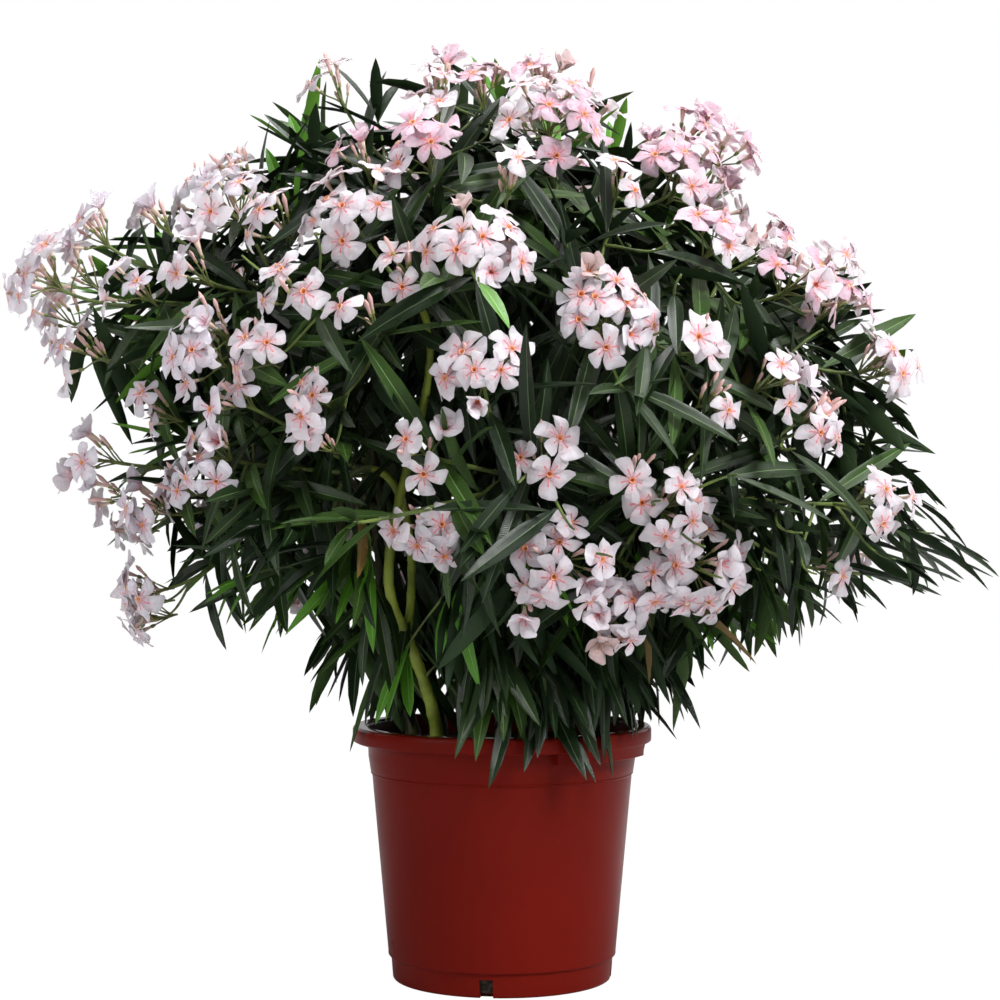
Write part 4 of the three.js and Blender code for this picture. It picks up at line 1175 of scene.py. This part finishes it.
def make_compost():
    """The compost: a low mound with a crumbly top, its height lifted by ripples of three sizes."""
    rings, around = 60, 200
    inside = POT["neck"] - POT["wall"]
    bottom = POT["floor"] + 0.5
    radii = np.linspace(inside - 0.6, 3, rings)
    angle = np.linspace(0, 2 * np.pi, around, endpoint=False)
    flat = np.stack([np.cos(angle), np.sin(angle), 0 * angle], axis=-1)[None] * radii[:, None, None]
    lift = sum(height * ripple(flat, size, seed) for height, size, seed in CRUMBS)
    mound = COMPOST_MOUND * (1 - (radii / radii[0]) ** 2)[:, None]
    top = flat + UP * (COMPOST_TOP - 1 + lift + mound)[..., None]
    wall = [(POT["foot"] - POT["wall"] - 1.2, bottom), (inside - 1.5, COMPOST_TOP - 8)]
    sides = np.array([[(r * math.cos(a), r * math.sin(a), z) for a in angle] for r, z in wall])
    shape = spindles(np.array([[0, 0, bottom]]), np.concatenate([sides, top])[None],
                     np.array([[0, 0, COMPOST_TOP + COMPOST_MOUND - 1.0]]))
    add_piece("compost_top", shape, [compost_finish()], ("compost",))


# ---- the plant ----

LIMB_STATIONS = 90
LIMB_NAMES = [name for name in frame["nodes"] if name.startswith(("stem_", "bough_"))]
MASS_NAMES = [name for name in frame["nodes"] if name.startswith("foliage_")]

# The finer wood of mass stems, twigs and shoots: first and last radius, stations, points around, and knot.
FINE_WOOD = ((3.3, 2.6, 24, 10, 0.35), (2.3, 1.5, 26, 8, 0.3), (1.7, 1.0, 18, 6, 0.25))
STALK_WOOD = (1.0, 0.75, 5, 5, 0.0)


def tapering(curves, first, last, stations, around, knot):
    """Limbs of one kind, their radius going evenly from the first to the last."""
    radii = np.tile(np.linspace(first, last, stations), (len(curves), 1))
    return tubes(curves, radii, stations, around, knot=knot)


def make_wood(stems, stem_kinds, boughs, bough_starts, fine, stalks):
    """Stems and boughs with the bark's relief, then the finer wood: mass stems, twigs, shoots and stalks."""
    bark = bark_finish("stem_bark", (0.03, 0.026, 0.014), (0.085, 0.09, 0.026), 34)
    bright = bark_finish("bright_bark", (0.17, 0.22, 0.02), (0.34, 0.42, 0.05), 30)
    green = bark_finish("green_bark", (0.05, 0.07, 0.018), (0.13, 0.19, 0.035), 40)
    share = np.linspace(0, 1, LIMB_STATIONS)
    flare = 1 + STEM["flare"] * np.maximum(0, 1 - share / STEM["flare_share"])
    stem_radii = between(stem_kinds[:, :1], stem_kinds[:, 1:], share) * flare
    bough_radii = between(bough_starts[:, None], BOUGH["end"], share)
    limbs = []
    for curves, radii, around, seed, bright_ones in (
        (stems, stem_radii, 18, 11, (GREEN_STEM,)),
        (boughs, bough_radii, 14, 12, GREEN_BOUGHS),
    ):
        is_green = np.isin(np.arange(len(curves)), bright_ones)
        for chosen, zone in ((~is_green, 0), (is_green, 1)):
            size = radii[chosen]
            limb = tubes(curves[chosen], size, LIMB_STATIONS, around, BARK["rough"], seed, BARK["knot"])
            limbs.append(rezoned(limb, zone))
    add_piece("stems_and_boughs", joined(limbs), [bark, bright], LIMB_NAMES)
    kinds = [tapering(curves, *kind) for curves, kind in zip(fine, FINE_WOOD)]
    add_piece("twigs", joined(kinds), [green], MASS_NAMES)
    stalk_green = small_finish("stalk_green", (0.13, 0.15, 0.04), 0.4, 0.6)
    add_piece("flower_stalks", tapering(stalks, *STALK_WOOD), [stalk_green])


BLADE_EDGE = 70  # a leaf's or petal's faces that meet at more than this many degrees keep a crisp edge
LEAF_TRIANGLES = 84  # in one leaf
MOST_TRIANGLES = 190000  # in one piece

LEAF_TONES = {
    # name: upper side, midrib, underside
    "deep": ((0.0065, 0.0165, 0.0045), (0.07, 0.115, 0.05), (0.014, 0.028, 0.011)),
    "middle": ((0.0125, 0.028, 0.0065), (0.09, 0.15, 0.055), (0.02, 0.039, 0.014)),
    "fresh": ((0.028, 0.064, 0.01), (0.12, 0.21, 0.06), (0.046, 0.085, 0.025)),
    "young": ((0.065, 0.2, 0.014), (0.2, 0.36, 0.08), (0.1, 0.25, 0.03)),
    "dry": ((0.17, 0.11, 0.035), (0.26, 0.19, 0.09), (0.2, 0.14, 0.06)),
}


def make_leaves(leaves):
    """The leaves, a piece for each tone, each leaf with its upper side, its pale midrib and its underside."""
    for tone, (name, (upper, midrib, under)) in enumerate(LEAF_TONES.items()):
        mine = leaves.tone == tone
        b = Blade(*(part[mine] for part in leaves.blade))
        finishes = [
            blade_finish(f"leaf_{name}", upper, 400, 0.04, 0.26, 0.42, Specular_IOR_Level=0.27),
            blade_finish(f"midrib_{name}", midrib, 40, 0.02, 0.4, 0.55, Specular_IOR_Level=0.32),
            blade_finish(f"underleaf_{name}", under, 400, 0.05, 0.5, 0.66, Specular_IOR_Level=0.12),
        ]
        batches = max(1, math.ceil(len(b.root) * LEAF_TRIANGLES / MOST_TRIANGLES))
        for part, rows in enumerate(np.array_split(np.arange(len(b.root)), batches)):
            shape = blades(Blade(*(field[rows] for field in b)), LEAF_OUTLINE)
            add_piece(f"leaves_{name}_{part + 1}", shape, finishes, sharp=BLADE_EDGE)


PETAL_TINTS = {
    # name: petal, its base, its streak, the wash between petal and base
    "blush": ((0.63, 0.42, 0.52), (0.66, 0.29, 0.36), (0.66, 0.16, 0.2), (0.64, 0.36, 0.45)),
    "pale": ((0.69, 0.62, 0.68), (0.71, 0.42, 0.48), (0.7, 0.2, 0.23), (0.7, 0.54, 0.6)),
    # the next tint is painted shade: the cool lavender cast of the left flank's flowers in shade
    "shade_cool": ((0.71, 0.65, 0.74), (0.71, 0.46, 0.54), (0.64, 0.21, 0.28), (0.71, 0.58, 0.66)),
    "spent": ((0.5, 0.34, 0.34), (0.42, 0.25, 0.2), (0.3, 0.14, 0.1), (0.46, 0.3, 0.27)),
}

PETAL_SHEEN = dict(Subsurface_Weight=0.5, Subsurface_Radius=(1.0, 0.85, 0.85), Subsurface_Scale=0.006,
                   Specular_IOR_Level=0.3)

# Turned parts: shares of their length, the radii there, and each band's zone. A funnel widens, turns over its
# mouth and comes back down inside, where its last point is sunk to a share of its depth.
FUNNEL = dict(
    shares=np.array([0.05, 0.35, 0.6, 1.0, 0.98, 0.72]), radii=np.array([1.1, 1.5, 2.2, 3.2, 2.5, 1.0]),
    zones=np.repeat([0, 0, 0, 0, 1, 1, 1], 7).reshape(7, 7), sunk=0.62,
)
CALYX = dict(length=6.5, shares=np.array([0.1, 0.5, 0.85]), radii=np.array([1.2, 2.0, 1.9]))
BUD = dict(
    radius=1.1, swell=0.055, twist=1.6,
    shares=np.array([0.06, 0.25, 0.5, 0.72, 0.9]), radii=np.array([0.62, 0.72, 0.8, 1.0, 0.55]),
    zones=np.repeat([1, 1, 0, 0, 0, 0], 6).reshape(6, 6),
)


def make_blossom(f, buds):
    """Petals in a piece for each tint, and the throats, calyxes and buds."""
    petals = petals_of(f)
    tint_of_petal = np.repeat(f.tint, 5)
    for tint, (name, colours) in enumerate(PETAL_TINTS.items()):
        shape = blades(Blade(*(part[tint_of_petal == tint] for part in petals)), PETAL_OUTLINE)
        finishes = [blade_finish(f"petal_{name}_{part}", colour, 30, 0.05, 0.5, 0.65, **PETAL_SHEEN)
                    for part, colour in zip(("face", "base", "streak", "wash"), colours)]
        add_piece(f"petals_{name}", shape, finishes, sharp=BLADE_EDGE)

    tube = small_finish("flower_tube", (0.68, 0.52, 0.42), 0.45, 0.6)
    throat = small_finish("flower_throat", (0.75, 0.3, 0.13), 0.45, 0.6)
    depth = FLOWER["depth"] * f.size
    radii = f.size[:, None] * FUNNEL["radii"]
    funnels = spun(f.root, f.axis, depth, FUNNEL["shares"], radii, 7, zones=FUNNEL["zones"])
    add_piece("flower_throats", sunk_ends(funnels, f, depth), [tube, throat])

    calyx = small_finish("calyx_green", (0.16, 0.2, 0.06), 0.4, 0.6)
    cups = spun(f.root - f.axis, f.axis, CALYX["length"] * f.size, CALYX["shares"],
                f.size[:, None] * CALYX["radii"], 6)
    add_piece("calyxes", cups, [calyx])

    end, way, length, _ = buds
    pink = small_finish("bud_pink", (0.66, 0.42, 0.39), 0.4, 0.55)
    green = small_finish("bud_green", (0.4, 0.38, 0.13), 0.4, 0.55)
    radii = (BUD["radius"] + BUD["swell"] * length)[:, None] * BUD["radii"]
    shape = spun(end, way, length, BUD["shares"], radii, 6, twist=BUD["twist"], zones=BUD["zones"])
    add_piece("buds", shape, [pink, green])


def sunk_ends(shape, f, depth):
    """The funnels with their last points drawn down into the throat."""
    count = len(f.size)
    points = shape.points.reshape(count, -1, 3).copy()
    points[:, -1] = f.root + f.axis * (depth * FUNNEL["sunk"])[:, None]
    return shape._replace(points=points.reshape(-1, 3))


def make_plant():
    """The whole plant: its wood, its leaves and its blossom."""
    stems, stem_kinds, boughs, bough_starts, hearts, twigs, flowers = grow_skeleton()
    shoots, shoot_flowers = make_shoots(twigs)
    low_shoots = make_low_shoots(stems)
    stalks, blooms, buds = truss_parts(np.concatenate([twigs, shoots]), np.append(flowers, shoot_flowers))
    fine = (hearts, twigs, np.concatenate([shoots, low_shoots]))
    make_wood(stems, stem_kinds, boughs, bough_starts, fine, stalks)
    make_leaves(all_leaves(stems, boughs, hearts, twigs, flowers, shoots, shoot_flowers, low_shoots))
    make_blossom(blooms, buds)


# ---- the stage ----

FLOOR = dict(half=60, colour=(0.6, 0.6, 0.6, 1), roughness=0.9, glow=1.05, glow_seen=0.94)
# The surround is brighter from the right, behind and above, by how far a ray goes this way. To the camera it
# is plain white.
SURROUND = dict(
    way=(0.6, 0.7, 0.35),
    ends=(("From Min", -0.7), ("From Max", 0.95), ("To Min", 0.08), ("To Max", 0.6)),
)
# Each light's place, size and power; all of them point at the plant's middle.
LIGHTS = (
    ("key", (1.9, -2.0, 2.5), 1.2, 130),
    ("fill", (-2.3, -1.9, 1.3), 1.6, 34),
    ("top", (0.2, 0.3, 3.0), 1.6, 75),
)
LIT_POINT = np.array((0, 0, 0.5))
SENSOR = 36
EYE_ACROSS = -2  # mm, how far right of the middle the camera stands


def make_floor():
    """A pale floor that takes the light and is nearly plain white to the camera."""
    half = FLOOR["half"]
    mesh = bpy.data.meshes.new("floor")
    corners = [(-half, -half, 0), (half, -half, 0), (half, half, 0), (-half, half, 0)]
    mesh.from_pydata(corners, [], [(0, 1, 2, 3)])
    floor = bpy.data.objects.new("floor", mesh)
    pale = bpy.data.materials.new("floor_pale")
    pale.use_nodes = True
    nodes, link = pale.node_tree.nodes, pale.node_tree.links.new
    shader = nodes["Principled BSDF"]
    shader.inputs["Base Color"].default_value = FLOOR["colour"]
    shader.inputs["Roughness"].default_value = FLOOR["roughness"]
    seen, lit, mix = (nodes.new(f"ShaderNode{kind}") for kind in ("LightPath", "Emission", "MixShader"))
    share = nodes.new("ShaderNodeMath")
    share.operation = "MULTIPLY"
    share.inputs[1].default_value = FLOOR["glow_seen"]
    lit.inputs["Strength"].default_value = FLOOR["glow"]
    link(seen.outputs["Is Camera Ray"], share.inputs[0])
    link(share.outputs[0], mix.inputs["Fac"])
    link(shader.outputs["BSDF"], mix.inputs[1])
    link(lit.outputs["Emission"], mix.inputs[2])
    link(mix.outputs["Shader"], nodes["Material Output"].inputs["Surface"])
    mesh.materials.append(pale)
    bpy.context.scene.collection.objects.link(floor)


def make_surround():
    """The light of the surround, stronger from one side."""
    world = bpy.data.worlds.new("surround")
    world.use_nodes = True
    nodes, link = world.node_tree.nodes, world.node_tree.links.new
    seen = nodes.new("ShaderNodeLightPath")
    way = nodes.new("ShaderNodeTexCoord")
    towards = nodes.new("ShaderNodeVectorMath")
    towards.operation = "DOT_PRODUCT"
    towards.inputs[1].default_value = SURROUND["way"]
    behind = nodes.new("ShaderNodeMapRange")
    for label, value in SURROUND["ends"]:
        behind.inputs[label].default_value = value
    strength = nodes.new("ShaderNodeMix")
    strength.inputs["B"].default_value = 1.0
    link(way.outputs["Generated"], towards.inputs[0])
    link(towards.outputs["Value"], behind.inputs["Value"])
    link(behind.outputs["Result"], strength.inputs["A"])
    link(seen.outputs["Is Camera Ray"], strength.inputs["Factor"])
    link(strength.outputs["Result"], nodes["Background"].inputs["Strength"])
    nodes["Background"].inputs["Color"].default_value = (1, 1, 1, 1)
    bpy.context.scene.world = world


def make_lights():
    """Soft lights from the front and from above."""
    for name, place, size, power in LIGHTS:
        light = bpy.data.lights.new(name, "AREA")
        light.size = size
        light.energy = power
        lamp = bpy.data.objects.new(name, light)
        lamp.location = place
        way = LIT_POINT - np.array(place)
        flat = math.hypot(way[0], way[1])
        lamp.rotation_euler = (math.atan2(flat, -way[2]), 0, math.atan2(-way[0], way[1]))
        bpy.context.scene.collection.objects.link(lamp)


def make_camera():
    """The camera, level before the plant, with a metre across its picture at the plant's middle."""
    camera = bpy.data.cameras.new("camera")
    camera.sensor_width = SENSOR
    camera.lens = SENSOR * EYE["distance"] / 1000
    eye = bpy.data.objects.new("camera", camera)
    eye.location = (EYE_ACROSS * MM, -EYE["distance"] * MM, EYE["height"] * MM)
    eye.rotation_euler = (math.radians(90), 0, 0)
    bpy.context.scene.collection.objects.link(eye)
    bpy.context.scene.camera = eye
    bpy.context.scene.view_settings.view_transform = "Standard"


make_floor()
make_surround()
make_lights()
make_camera()
make_pot()
make_compost()
make_plant()
